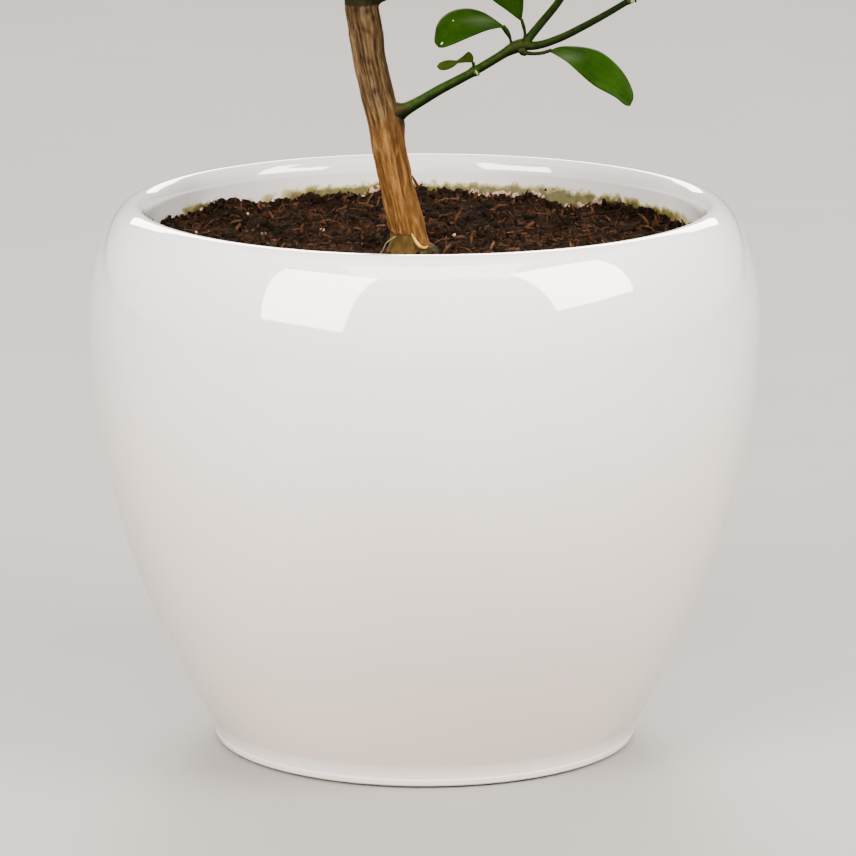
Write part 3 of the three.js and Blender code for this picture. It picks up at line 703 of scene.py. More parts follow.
def blade_faces(rows, columns):
    """Faces of a closed blade whose upper and lower sheets share their rim.

    Points are the upper sheet by rows, then the inner points of the lower sheet. The second
    value tells which faces are on the underside."""
    upper = np.arange((rows + 1) * (columns + 1)).reshape(rows + 1, columns + 1)
    lower = upper.copy()
    inner = np.arange((rows - 1) * (columns - 1)).reshape(rows - 1, columns - 1)
    lower[1:-1, 1:-1] = inner + upper.size

    def quads(sheet):
        corners = (sheet[:-1, :-1], sheet[:-1, 1:], sheet[1:, 1:], sheet[1:, :-1])
        return np.stack(corners, axis=-1).reshape(-1, 4)

    faces = np.concatenate([quads(upper), quads(lower)[:, ::-1]])
    return faces, np.arange(len(faces)) >= len(faces) // 2


def leaf_points(leaves):
    """Points of many leaves at once, as one array for each leaf."""
    share = np.array(LEAF["rows"])[:, None]
    across = np.linspace(-1, 1, LEAF["columns"] + 1)[None, :]
    half = leaf_outline(share)
    on_blade = smoothstep(share, LEAF["stalk"], LEAF["stalk"] + LEAF["thins_over"])
    thick = mix(LEAF["stalk_thickness"], LEAF["thickness"], on_blade) * (1 - np.abs(across) ** 3)

    def column(key):
        return np.array([leaf[key] for leaf in leaves], float)

    root, tip, face = column("root"), column("tip"), column("face")
    length = np.linalg.norm(tip - root, axis=1)
    along = (tip - root) / length[:, None]
    side = np.cross(along, face)
    side /= np.linalg.norm(side, axis=1)[:, None]
    up = np.cross(side, along)[:, None, None]
    width, fold, arch, curl = (column(key)[:, None, None]
                               for key in ("width", "fold", "arch", "curl"))
    span = length[:, None, None]
    lift = fold * np.abs(across) * half * width / 2
    lift = lift + arch * span * 4 * share * (1 - share) - curl * span * share ** 3
    sheet = (root[:, None, None] + along[:, None, None] * (span * share)[..., None]
             + side[:, None, None] * (across * half * width / 2)[..., None])
    upper = sheet + up * (lift + thick * LEAF["above"])[..., None]
    lower = (sheet + up * (lift - thick * (1 - LEAF["above"]))[..., None])[:, 1:-1, 1:-1]
    return np.concatenate([upper.reshape(len(leaves), -1, 3), lower.reshape(len(leaves), -1, 3)],
                          axis=1)


def true_leaf(root, tip, face, width, draw):
    """A leaf of life size, each a little different in fold, arch and curl."""
    bends = {name: mix(*ends, draw()) for name, ends in LEAF["bends"].items()}
    return dict(root=root, tip=tip, face=face, width=width, **bends)


def grow_spray(mass, leaf, index, growth, inside, beads):
    """The fine twig and true leaves that stand where the solid has one leaf."""
    draw = random_from(mass["seed"] * SPRAY["seed_step"] + index)
    root, span = leaf["root"], leaf["tip"] - leaf["root"]
    length = np.linalg.norm(span)
    end = root + span * SPRAY["reach"] + UP * SPRAY["rise"] * length
    twig = bent_curve(root, (root + end) / 2 + UP * SPRAY["bow"] * length, end)
    end_width = length * (1 - SPRAY["reach"]) * SPRAY["leaf_width"]
    leaves = [true_leaf(end, leaf["tip"], leaf["face"], end_width, draw)]
    start_turn = draw() * 2 * math.pi
    last = SPRAY["leaves"] - 1
    for i in range(SPRAY["leaves"]):
        root = twig.at(mix(SPRAY["leaf_from"], SPRAY["leaf_to"], i / last))
        size = mix(*SPRAY["leaf_length"], draw())
        for tries in range(SPRAY["tries"]):
            turn = start_turn + i * RULE["turn"] + tries * RULE["try_turn"]
            lean = SPRAY["leaf_lean"] + SPRAY["lean_step"] * tries
            direction = branch_off(span / length, lean, turn)
            direction = unit(direction - UP * mix(*SPRAY["droop"], draw()))
            tip = root + direction * size
            middle = (root + tip) / 2
            face = unit(tip - mass["middle"]) + UP * mix(*SPRAY["face"], draw())
            if true_leaf_is_free(middle, tip, growth, inside, beads):
                growth["middles"].append(middle)
                leaves.append(true_leaf(root, tip, face, size * SPRAY["leaf_width"], draw))
                break
    return twig, leaves, draw()


def true_leaf_is_free(middle, tip, growth, inside, beads):
    off_wood = all(inside(p) and clear_of(beads, p, SPRAY["limb_clearance"])
                   for p in (middle, tip))
    off_leaves = all(np.linalg.norm(middle - other) > SPRAY["spacing"]
                     for other in growth["middles"])
    off_fruit = all(np.linalg.norm(p - fruit) > FRUIT["radius"] + SPRAY["fruit_clearance"]
                    for fruit in growth["fruits"] for p in (middle, tip))
    return off_wood and off_leaves and off_fruit


def fruit_points(middle, seed):
    """A small orange, a little flat, with dimpled peel and a shallow hollow at its stalk."""
    angle = np.linspace(0, math.pi, FRUIT["rows"])
    (top, top_reach), (end, end_reach) = FRUIT["top_hollow"], FRUIT["end_hollow"]
    hollow = 1 - top * bell(angle, 0, top_reach) - end * bell(angle, math.pi, end_reach)
    profile = np.stack([np.sin(angle) * hollow, np.cos(angle) * hollow * FRUIT["squash"]], axis=1)
    points, faces = turned(profile[::-1], FRUIT["segments"])
    uneven = 1 + FRUIT["lump"] * noise(points, FRUIT["lump_size"], seed)
    return middle + points * FRUIT["radius"] * uneven[:, None] * FRUIT["peel"], faces


# ---------------------------------------------------------------- materials

class Look:
    """A node material built round one principled shader. Patterns are sized in millimetres."""

    def __init__(self, name, roughness, **sockets):
        self.material = bpy.data.materials.new(name)
        self.material.use_nodes = True
        self.nodes = self.material.node_tree.nodes
        self.links = self.material.node_tree.links
        self.shader = self.nodes["Principled BSDF"]
        self.shader.inputs["Roughness"].default_value = roughness
        for socket, value in sockets.items():
            self.shader.inputs[socket.replace("_", " ")].default_value = value
        self.place = self.nodes.new("ShaderNodeTexCoord").outputs["Object"]

    def fill(self, socket, value):
        """Links another node's output to a socket, or sets a number or colour on it."""
        if hasattr(value, "links"):
            self.links.new(value, socket)
        else:
            socket.default_value = (*value, 1) if isinstance(value, tuple) else value

    def node(self, kind, output, **inputs):
        """A new node's output, with its inputs filled."""
        made = self.nodes.new("ShaderNode" + kind)
        for name, value in inputs.items():
            self.fill(made.inputs[name.replace("_", " ")], value)
        return made.outputs[output]

    def stretched(self, x, y, z):
        """Object coordinates in millimetres, drawn out along an axis."""
        mapping = self.nodes.new("ShaderNodeMapping")
        mapping.inputs["Scale"].default_value = (x / MM, y / MM, z / MM)
        self.links.new(self.place, mapping.inputs["Vector"])
        return mapping.outputs["Vector"]

    def noise(self, size, detail=4, rough=0.55, stretch=(1, 1, 1), distortion=0):
        return self.node("TexNoise", "Fac", Scale=1, Detail=detail, Roughness=rough,
                         Distortion=distortion, Vector=self.stretched(*(s / size for s in stretch)))

    def pits(self, size):
        """Distances from the middles of cells of a size."""
        return self.node("TexVoronoi", "Distance", Scale=1, Vector=self.stretched(*[1 / size] * 3))

    def aligned(self, axis):
        """From here on, patterns stand along this axis."""
        mapping = self.nodes.new("ShaderNodeMapping")
        turn = Vector(axis).rotation_difference(Vector((0, 0, 1)))
        mapping.inputs["Rotation"].default_value = turn.to_euler()
        self.links.new(self.place, mapping.inputs["Vector"])
        self.place = mapping.outputs["Vector"]

    def ramp(self, value, *stops):
        """Colours at shares of a value."""
        colour = self.node("ValToRGB", "Color", Fac=value)
        elements = colour.node.color_ramp.elements
        while len(elements) < len(stops):
            elements.new(0.5)
        for element, (position, tone) in zip(elements, stops):
            element.position, element.color = position, (*tone, 1)
        return colour

    def blend(self, share, first, second):
        """From one colour to another by a share."""
        node = self.nodes.new("ShaderNodeMix")
        node.data_type = "RGBA"
        colours = [s for s in node.inputs if s.type == "RGBA"]
        for socket, value in zip([node.inputs["Factor"], *colours], (share, first, second)):
            self.fill(socket, value)
        return next(s for s in node.outputs if s.type == "RGBA")

    def axes(self):
        return list(self.node("SeparateXYZ", "X", Vector=self.place).node.outputs)

    def between(self, value, low, high):
        """0 at one value and 1 at the other, smoothly."""
        rise = self.node("MapRange", "Result", Value=value, From_Min=low, From_Max=high)
        rise.node.interpolation_type = "SMOOTHSTEP"
        return rise

    def across(self, place, low, high):
        """0 at one place in millimetres and 1 at the other, smoothly."""
        return self.between(place, low * MM, high * MM)

    def math(self, kind, first, second=0.5):
        node = self.nodes.new("ShaderNodeMath")
        node.operation = kind
        for socket, value in zip(node.inputs, (first, second)):
            self.fill(socket, value)
        return node.outputs["Value"]

    def times(self, first, second):
        return self.math("MULTIPLY", first, second)

    def plus(self, first, second):
        return self.math("ADD", first, second)

    def attribute(self, name):
        node = self.nodes.new("ShaderNodeAttribute")
        node.attribute_name = name
        return node.outputs["Fac"]

    def colour(self, value):
        self.links.new(value, self.shader.inputs["Base Color"])

    def roughness(self, value):
        self.links.new(value, self.shader.inputs["Roughness"])

    def bump(self, value, depth):
        """Fine relief of a depth in millimetres. A second call adds to the first."""
        relief = self.node("Bump", "Normal", Strength=1, Distance=depth * MM, Height=value)
        held = self.shader.inputs["Normal"]
        if held.links:
            self.links.new(held.links[0].from_socket, relief.node.inputs["Normal"])
        self.links.new(relief, held)
        return self


# Heights and places, in millimetres, of what shows in the glaze: painted light near the lip, on the
# foot band and inside the mouth, a painted warm reflection and shade low down, the bare ring and
# the residue.
GLAZE = dict(
    painted_light_top=(148, 177), painted_warm_reflection_below=(165, 15), painted_light_on_foot=(8.8, 6.4), bare_below=(0.35, 0.05),
    inside=(93.6, 92.2), inside_above=(140, 148),
    film_below=(166.6, 163.8), film_rag=7, film_behind=(10, 45), film_left=(-52, -44),
)


def glaze_look():
    """White, with painted light near the lip, on the foot band and inside the mouth, a little
    warmer and darker low down from a painted warm reflection and shade, and with residue from the
    soil on its inside.
    """
    look = Look("white glaze", 0.05, IOR=1.6, Specular_IOR_Level=0.9, Coat_Weight=1.0,
                Coat_Roughness=0.02)
    x, y, z = look.axes()
    tone = look.ramp(look.noise(38, 2), (0.3, (0.850, 0.780, 0.742)), (0.7, (0.874, 0.813, 0.780)))
    # Painted light: paler near the lip, then a painted warm reflection and shade, warmer and darker
    # towards the bottom, then a paler foot band.
    tone = look.blend(look.across(z, *GLAZE["painted_light_top"]), tone, (0.945, 0.905, 0.880))
    tone = look.blend(look.across(z, *GLAZE["painted_warm_reflection_below"]), tone, (0.770, 0.662, 0.607))
    tone = look.blend(look.across(z, *GLAZE["painted_light_on_foot"]), tone, (0.900, 0.832, 0.795))
    radius = look.math("SQRT", look.plus(look.times(x, x), look.times(y, y)))
    inner = look.times(look.across(radius, *GLAZE["inside"]),
                       look.across(z, *GLAZE["inside_above"]))
    # Painted light: the inner wall inside the mouth is paler, lifting it out of its shade.
    tone = look.blend(inner, tone, (0.945, 0.915, 0.89))
    # Olive residue above the soil, in ragged patches on the inner wall's back.
    ragged = look.times(look.noise(4, 5, 0.7), GLAZE["film_rag"] * MM)
    low = look.across(look.math("SUBTRACT", z, ragged), *GLAZE["film_below"])
    patches = look.math("MAXIMUM", look.between(look.noise(22, 2), 0.50, 0.62),
                        look.across(x, *GLAZE["film_left"]))
    film = look.times(look.times(inner, low),
                      look.times(look.across(y, *GLAZE["film_behind"]), patches))
    olive = look.ramp(look.noise(2.2, 4, 0.6), (0.35, (0.062, 0.049, 0.001)),
                      (0.7, (0.170, 0.138, 0.008)))
    tinted = look.blend(look.between(film, 0, 0.5), tone, (0.60, 0.53, 0.25))
    stained = look.blend(look.between(film, 0.3, 1), tinted, olive)
    bare = look.across(z, *GLAZE["bare_below"])
    clay = look.ramp(look.noise(1.2, 5), (0.3, (0.50, 0.43, 0.34)), (0.7, (0.62, 0.55, 0.46)))
    look.colour(look.blend(bare, stained, clay))
    rough = look.plus(look.times(film, 0.45), look.times(bare, 0.7))
    look.roughness(look.plus(rough, look.times(look.noise(30, 3), 0.10)))
    return look.bump(look.noise(22, 2), 0.10).material


def soil_look(name, dark, light, red):
    look = Look(name, 1.0, Specular_IOR_Level=0.03)
    grain = look.ramp(look.noise(1.6, 6, 0.7), (0.34, dark), (0.62, light))
    look.colour(look.blend(look.between(look.noise(6, 4, 0.65), 0.52, 0.68), grain, red))
    return look.bump(look.noise(0.8, 5, 0.7), 0.6).material


# Places in the trunk's bark: heights, and x for the green spot, in millimetres.
BARK_PLACES = dict(
    lean=(-0.216, 0.144, 1),  # the bark's streaks run along the trunk
    grey_above=(208, 233), grey_patches=26, young_above=(250, 330),
    # Painted shade: a dark ragged band under the lowest bough, between the heights below.
    shade_band_from=(244.7, 245.5), shade_band_to=(252.5, 250), shade_band_rag=1.6,  # dark, under the lowest bough
    green_right=(-2.2, 0.5), green_below=(169, 166.8),
)


def bark_look():
    """Trunk bark: grey-brown above, warm orange-tan lower down, smooth and olive at the foot, with
    painted shade in a band under the lowest bough and in its creases, and dark knots.
    """
    look = Look("bark", 0.85, Specular_IOR_Level=0.12)
    x, _, z = look.axes()
    look.aligned(BARK_PLACES["lean"])
    streak = look.noise(0.33, 5, 0.64, (1, 1, 0.11), 0.2)
    broken = look.noise(0.55, 4, 0.7, (1, 1, 0.5))
    tone = look.plus(look.times(look.attribute("relief"), 0.42),
                     look.plus(look.times(streak, 0.40), look.times(broken, 0.18)))
    grey = look.ramp(tone, (0.30, (0.015, 0.0068, 0.0024)), (0.39, (0.040, 0.0205, 0.0070)),
                     (0.50, (0.073, 0.041, 0.0150)), (0.67, (0.150, 0.097, 0.045)))
    tan = look.ramp(tone, (0.28, (0.036, 0.0128, 0.0022)), (0.39, (0.078, 0.030, 0.0050)),
                    (0.51, (0.116, 0.0490, 0.0090)), (0.69, (0.218, 0.111, 0.0285)))
    patch = look.times(look.noise(9, 3, 0.6, (1, 1, 0.5)), BARK_PLACES["grey_patches"] * MM)
    upward = look.across(look.plus(z, patch), *BARK_PLACES["grey_above"])
    outer = look.blend(upward, tan, grey)
    young = look.ramp(streak, (0.3, (0.045, 0.032, 0.009)), (0.7, (0.13, 0.10, 0.035)))
    outer = look.blend(look.across(z, *BARK_PLACES["young_above"]), outer, young)
    # Painted shade: a dark ragged band just under the lowest bough.
    ragged = look.plus(z, look.times(look.noise(1.8, 4, 0.6), BARK_PLACES["shade_band_rag"] * MM))
    band = look.times(look.across(ragged, *BARK_PLACES["shade_band_from"]),
                      look.across(z, *BARK_PLACES["shade_band_to"]))
    outer = look.blend(look.times(band, 0.92), outer, (0.007, 0.0085, 0.002))
    smooth = look.ramp(look.noise(2.5, 4, 0.6, (1, 1, 0.5)), (0.3, (0.036, 0.020, 0.0034)),
                       (0.7, (0.088, 0.050, 0.0092)))
    green = look.times(look.across(x, *BARK_PLACES["green_right"]),
                       look.across(z, *BARK_PLACES["green_below"]))
    smooth = look.blend(green, smooth, (0.024, 0.032, 0.0015))
    bare = look.blend(look.attribute("peeled"), outer, smooth)
    # Painted shade in the creases, in one value with the knots' own dark colour.
    look.colour(look.blend(look.attribute("crease"), bare, (0.010, 0.005, 0.002)))
    return look.bump(streak, 0.3).bump(look.noise(0.4, 4), 0.08).material


def stem_look(name, dark, light, roughness=0.6):
    """Young bark or a green stem, browner where the mesh says it is woody, and darker where the
    mesh gives it painted shade.
    """
    def part(colour, share):
        return tuple(c * share for c in colour)

    woody = (0.054, 0.034, 0.0095)
    look = Look(name, roughness, Specular_IOR_Level=0.08)
    green = look.ramp(look.noise(2.4, 3, 0.55, (1, 1, 0.6)), (0.3, dark), (0.7, light))
    brown = look.ramp(look.noise(1.0, 4), (0.35, part(woody, 0.45)), (0.65, woody))
    green = look.blend(look.attribute("woody"), green, brown)
    # Painted shade: darker where the mesh's shade values say, mostly on undersides.
    look.colour(look.blend(look.attribute("shade"), green, part(dark, 0.25)))
    return look.bump(look.noise(0.8, 3), 0.05).material


def leaf_look(name, dark, light, roughness=0.43, specular=0.10, pale=None):
    """A leaf's upper or lower face, with a painted sheen where the mesh says so."""
    look = Look(name, roughness, Specular_IOR_Level=specular)
    tone = look.ramp(look.noise(6, 3), (0.3, dark), (0.7, light))
    if pale:
        # Painted sheen, where the mesh's pale values say.
        tone = look.blend(look.times(look.attribute("pale"), 0.6), tone, pale)
    look.colour(tone)
    return look.bump(look.noise(1.6, 3), 0.04).material


def peel_look():
    """A ripe orange's dimpled peel."""
    look = Look("orange peel", 0.38, Specular_IOR_Level=0.35)
    look.colour(look.ramp(look.noise(9, 3), (0.25, (0.335, 0.072, 0.0004)),
                          (0.75, (0.44, 0.112, 0.001))))
    return look.bump(look.pits(1 / 1.1), 0.25).material


# ---------------------------------------------------------------- pot

def cubic(points, count):
    """A row of points along a cubic Bezier curve."""
    t = np.linspace(0, 1, count)[:, None]
    a, b, c, d = (vec(p) for p in points)
    return (1 - t) ** 3 * a + 3 * t * (1 - t) ** 2 * b + 3 * t * t * (1 - t) * c + t ** 3 * d


def quarter(count):
    """Angles from 0 to a right angle."""
    return np.linspace(0, math.pi / 2, count)


POT_ROWS = dict(wall=90, band=18, edge=8, shoulder=60, lip=26, inside=8, round=216)
# The glaze flows a little unevenly over the clay, which makes its reflections waver.
WAVER = dict(waves=[(0.22, 55, 3), (0.05, 17, 4)], inward=0.28, above=3, full_above=20)


def pot_profile():
    """From the middle of the underside, up the outside, over the lip and down inside."""
    foot, rise = POT["foot_radius"], POT["foot_pull"] * POT["belly_height"]
    wall = cubic([(foot, 0), (foot + rise * POT["foot_slope"], rise),
                  (POT["belly_radius"], POT["belly_height"] * (1 - POT["belly_pull"])),
                  (POT["belly_radius"], POT["belly_height"])], POT_ROWS["wall"])
    # The foot is a low upright band, and the wall leans out from its top.
    top, step = POT["foot_band"], POT["foot_step"]
    heights = np.linspace(POT["foot_round"], top, POT_ROWS["band"])
    upright = np.interp(top, wall[:, 1], wall[:, 0]) - step
    upright = upright - POT["foot_band_slope"] * (top - heights)
    stepped = smoothstep(heights, top - POT["step_below"], top + POT["step_above"])
    upright += step * stepped + POT["foot_band_out"]
    ring = upright[0] - POT["foot_set_back"]
    inner_ring = ring - POT["foot_ring"]
    recess = POT["hollow"][0][1]
    under = [(0, recess), (inner_ring / 2, recess)]
    under += [(inner_ring + out, up) for out, up in POT["hollow"]]
    under += [(ring + out, up) for out, up in POT["ring_edge"]]
    angle = quarter(POT_ROWS["edge"])[:-1]
    edge = np.stack([mix(upright[0] - POT["edge_round"], upright[0], np.sin(angle)),
                     mix(POT["foot_round"], POT["foot_lift"], np.cos(angle))], axis=1)
    band = np.stack([upright, heights], axis=1)
    wall = wall[wall[:, 1] > top + 1]
    across, along = POT["shoulder_powers"]
    angle = quarter(POT_ROWS["shoulder"])[1:-3]  # the lip goes on from just before its top
    shoulder = np.stack([
        mix(POT["ridge_radius"], POT["belly_radius"], np.cos(angle) ** across),
        mix(POT["belly_height"], POT["height"], np.sin(angle) ** along)], axis=1)
    angle = quarter(POT_ROWS["lip"])
    inner = POT["ridge_radius"] - POT["lip_width"]
    lip = np.stack([mix(POT["ridge_radius"], inner, np.sin(angle)),
                    POT["height"] - POT["lip_roll"] * (1 - np.cos(angle))], axis=1)
    down = np.linspace(POT["inner_top"], POT["inner_bottom"], POT_ROWS["inside"])
    down = [(inner, height) for height in down]
    floor = [(inner - 1.5, POT["inner_bottom"] - 1), (0, POT["inner_bottom"] - 1)]
    return np.concatenate([vec(under), edge, band, wall, shoulder, lip, vec(down), vec(floor)])


def make_pot():
    points, faces = turned(pot_profile(), POT_ROWS["round"])
    away = np.hypot(points[:, 0], points[:, 1])
    wobble = sum(depth * noise(points, size, seed) for depth, size, seed in WAVER["waves"])
    wobble *= smoothstep(points[:, 2], WAVER["above"], WAVER["full_above"]) * (away > 1)
    scale = 1 + (wobble - WAVER["inward"]) / np.maximum(away, 1)
    points[:, :2] *= np.where(points[:, 2] > WAVER["above"], scale, 1)[:, None]
    make_piece("pot_glazed", points, [faces], glaze_look(), "glaze", ["pot"])


# ---------------------------------------------------------------- soil

def soil_height(x, y):
    """The solid's surface, and over it the relief of crumbled coir."""
    a, b, c, d = SOIL["waves"]
    size, e, f = SOIL["cross_waves"]
    wave = np.sin(x * a + b) * np.cos(y * c + d) + size * np.sin(x * e + y * f)
    slope = -SOIL["right_drop"] * smoothstep(x, SOIL["slope_from"], POT["mouth_radius"])
    from_foot = np.hypot(x - TRUNK["foot"][0], y - TRUNK["foot"][1])
    free = smoothstep(from_foot, SOIL["flat_radius"], SOIL["blend_radius"])
    base = SOIL["level"] + free * (SOIL["bump"] * wave + slope)
    flat = np.stack([x, y, np.zeros_like(x)], axis=-1)
    relief = sum(height * noise(flat, size, seed) for height, size, seed in SOIL["relief"])
    left, low = SOIL["bank_left"], SOIL["dip"] * smoothstep(np.hypot(x, y), *SOIL["dip_out"])
    for ends in SOIL["bank_left_x"]:
        left = left * smoothstep(x, *ends)
    right = SOIL["bank_right"] * smoothstep(x, *SOIL["bank_right_x"])
    banked = smoothstep(np.hypot(x, y), *SOIL["bank_out"]) * (left + right)
    low = low * smoothstep(y, *SOIL["dip_y"])
    for ends in SOIL["dip_x"]:
        low = low * smoothstep(x, *ends)
    return base + relief * smoothstep(from_foot, *SOIL["calm"]) + banked - low - SOIL["settled"]


def soil_at(x, y):
    """The soil's height at one place."""
    return soil_height(np.array([x]), np.array([y]))[0]


SOIL_LOOKS = dict(
    bed=((0.0048, 0.0032, 0.0021), (0.020, 0.0115, 0.0066), (0.035, 0.016, 0.0082)),
    dark=((0.0039, 0.0028, 0.0019), (0.0150, 0.0092, 0.0054), (0.027, 0.0135, 0.0074)),
    brown=((0.012, 0.0064, 0.0035), (0.045, 0.0225, 0.0115), (0.066, 0.029, 0.0145)),
    red=((0.029, 0.0115, 0.0056), (0.090, 0.038, 0.0180), (0.135, 0.060, 0.030)),
    strand=((0.034, 0.0150, 0.0075), (0.102, 0.049, 0.026), (0.150, 0.073, 0.041)),
    pale=((0.32, 0.21, 0.14), (0.66, 0.47, 0.34), (0.62, 0.37, 0.26)),
)


def make_soil_bed():
    """The soil's surface in rings that lie closer towards the wall, closed underneath."""
    rings, segments, closer = 120, 320, 0.8
    rim, bottom = POT["mouth_radius"] - 0.1, POT["inner_bottom"] + 1
    radii = rim * np.linspace(0, 1, rings + 1)[1:] ** closer
    angles = full_turn(segments)
    x = (radii[:, None] * np.cos(angles)).ravel()
    y = (radii[:, None] * np.sin(angles)).ravel()
    surface = np.stack([x, y, soil_height(x, y)], axis=-1)
    skirt = surface[-segments:].copy()
    skirt[:, 2] = bottom
    points = np.concatenate([surface, skirt, [[0, 0, SOIL["level"]], [0, 0, bottom]]])
    rows = rings + 1
    first, middle = np.arange(segments), rows * segments
    below = fan(middle + 1, first + rings * segments)[:, [0, 2, 1]]
    make_piece("soil_bed", points,
               [grid_faces(rows, segments)[:, ::-1], np.concatenate([fan(middle, first), below])],
               soil_look("soil bed", *SOIL_LOOKS["bed"]), "soil", ["soil"])


def scattered(rng, count, rim=90.5, clear=7.5):
    """Places over the soil, evenly spread and clear of the trunk."""
    places = []
    while len(places) < count:
        radius, angle = rim * math.sqrt(rng.random()), rng.random() * 2 * math.pi
        x, y = radius * math.cos(angle), radius * math.sin(angle)
        if math.hypot(x - TRUNK["foot"][0], y - TRUNK["foot"][1]) > clear:
            places.append((x, y))
    places = np.array(places)
    return np.column_stack([places, soil_height(places[:, 0], places[:, 1])])


def random_turns(rng, count):
    """Random rotation matrices, from random quaternions."""
    q = rng.normal(size=(count, 4))
    w, x, y, z = (q / np.linalg.norm(q, axis=1)[:, None]).T
    rows = [1 - 2 * (y * y + z * z), 2 * (x * y - z * w), 2 * (x * z + y * w),
            2 * (x * y + z * w), 1 - 2 * (x * x + z * z), 2 * (y * z - x * w),
            2 * (x * z - y * w), 2 * (y * z + x * w), 1 - 2 * (x * x + y * y)]
    return np.stack(rows, axis=1).reshape(-1, 3, 3)


def ball(subdivisions):
    """Points and triangles of an icosphere."""
    shape = bmesh.new()
    bmesh.ops.create_icosphere(shape, subdivisions=subdivisions, radius=1)
    points = np.array([v.co for v in shape.verts])
    triangles = np.array([[v.index for v in f.verts] for f in shape.faces])
    shape.free()
    return points, triangles


def lumps(rng, places, sizes, flatness, rough=0.3, subdivisions=2):
    """Irregular closed crumbs, one at each place."""
    bump_scale, bump_height, far_apart, uneven_widths = 0.9, 1.6, 100, 1.1
    base, triangles = ball(subdivisions)
    count = len(places)
    shapes = np.repeat(base[None], count, axis=0)
    offsets = rng.random((count, 1, 3)) * far_apart
    bumps = noise((shapes * bump_scale + offsets).reshape(-1, 3), 1, 5).reshape(count, -1, 1)
    shapes = shapes * (1 + rough * bump_height * bumps)
    stretch = 1 + (rng.random((count, 1, 3)) - 0.5) * uneven_widths
    stretch[..., 2] *= flatness
    shapes = shapes * stretch * sizes[:, None, None]
    shapes = np.einsum("nij,nvj->nvi", random_turns(rng, count), shapes) + places[:, None]
    steps = np.arange(count)[:, None, None] * len(base)
    pile = Pile()
    pile.add(shapes.reshape(-1, 3), triangles=(triangles[None] + steps).reshape(-1, 3))
    return pile


def soil_piece(pile, name, look, tones, rim=90.7):
    """A piece of the soil, with anything that would reach into the wall drawn in to a rim."""
    for points in pile.points:
        away = np.hypot(points[:, 0], points[:, 1])
        points[:, :2] *= np.minimum(1, rim / np.maximum(away, 1e-6))[:, None]
    pile.piece(f"soil_{name}", soil_look(look, *SOIL_LOOKS[tones]), "soil")


# Count, sizes, how far they stand out and how finely they are made, for each tone.
CRUMBS = dict(dark=(2450, (0.30, 1.35), 0.3, 2), brown=(3200, (0.25, 0.95), 0.4, 1))


def make_crumbs(rng):
    """Crumbs of two tones, most of them small."""
    mostly_small, flatness, rough = 2.4, 0.75, 0.6
    for name, (count, sizes, seated, detail) in CRUMBS.items():
        places = scattered(rng, count)
        size = mix(*sizes, rng.random(count) ** mostly_small)
        places[:, 2] += size * seated
        pile = lumps(rng, places, size, flatness, rough, detail)
        soil_piece(pile, f"crumbs_{name}", f"{name} crumbs", name)


def fibre(rng, place, length, radius, flat=1.0, standing=0.0, curl=1.1):
    """A curled shred of coir that lies on the soil or stands in it."""
    joints, sides, tilt, arch, raised, thinner_ends = 8, 5, 0.22, 0.9, 0.3, 0.6
    steps = np.linspace(-0.5, 0.5, joints)
    heading = rng.random() * 2 * math.pi + rng.normal() * curl * steps
    slope = standing + rng.normal() * tilt - rng.random() * arch * steps
    ways = np.stack([np.cos(heading), np.sin(heading), slope], axis=1)
    ways /= np.linalg.norm(ways, axis=1)[:, None]
    path = np.cumsum(ways, axis=0) * length / joints
    path += place - path[joints // 2] + UP * length * raised * min(standing, 1)
    swell = radius * (1 - thinner_ends * np.abs(steps * 2) ** 3)
    around = 1 + (flat - 1) * np.abs(np.cos(full_turn(sides)))
    return tube(path, swell[:, None] * around[None], sides)


# Two straws crossed by the trunk's foot.
STRAWS = [[(6.8, -30, 172.6), (6.9, -29.6, 170), (6.2, -29, 165.5)],
          [(3.2, -30, 170.6), (5.4, -30, 171.6), (8.0, -29.6, 171.9)]]
# Count, lengths, radii, lengths of those that stand, curl and flatness of each tone.
FIBRES = dict(
    brown=(1150, (2, 9), (0.10, 0.30), (2.5, 5.5), 1.1, 2),
    red=(800, (2, 8.5), (0.10, 0.30), (2.5, 5.5), 1.1, 2),
    dark=(600, (2.5, 10), (0.12, 0.42), (2.5, 5.5), 1.1, 2),
    strand=(170, (4, 13), (0.26, 0.62), (4, 8), 2.4, 0),
)


def make_fibres(rng):
    """Shreds of coir of four tones. Every fifth one stands."""
    for name, (count, lengths, radii, upright, curl, flatness) in FIBRES.items():
        pile = Pile()
        for i, place in enumerate(scattered(rng, count, 89.5, 9.5)):
            length = mix(*lengths, rng.random() ** 1.5)
            radius = mix(*radii, rng.random() ** 1.6)
            standing = 0.9 + rng.random() if i % 5 == 0 else 0.0
            if standing:
                length = mix(*upright, rng.random())
            place = place + UP * radius * mix(0.3, 2.5, rng.random())
            flat = 1 + flatness * rng.random() ** 2
            pile.add(*fibre(rng, place, length, radius, flat, standing, curl))
        if name == "strand":
            for points in STRAWS:
                pile.add(*tube(smooth_curve(points).points(12), np.linspace(0.24, 0.15, 12), 8))
        soil_piece(pile, f"fibres_{name}", f"{name} fibres", name)


# Stretches of pale grit along the back wall: angles from and to, in degrees, and grains.
GRIT_LINE = [(80, 71, 44), (66, 63, 8), (57, 47, 22), (103, 99, 14), (141, 147, 6)]


GRIT = dict(grains=26, away=90, unsteady=0.01, lift=(0.9, 1.9), sizes=(0.4, 1.0))


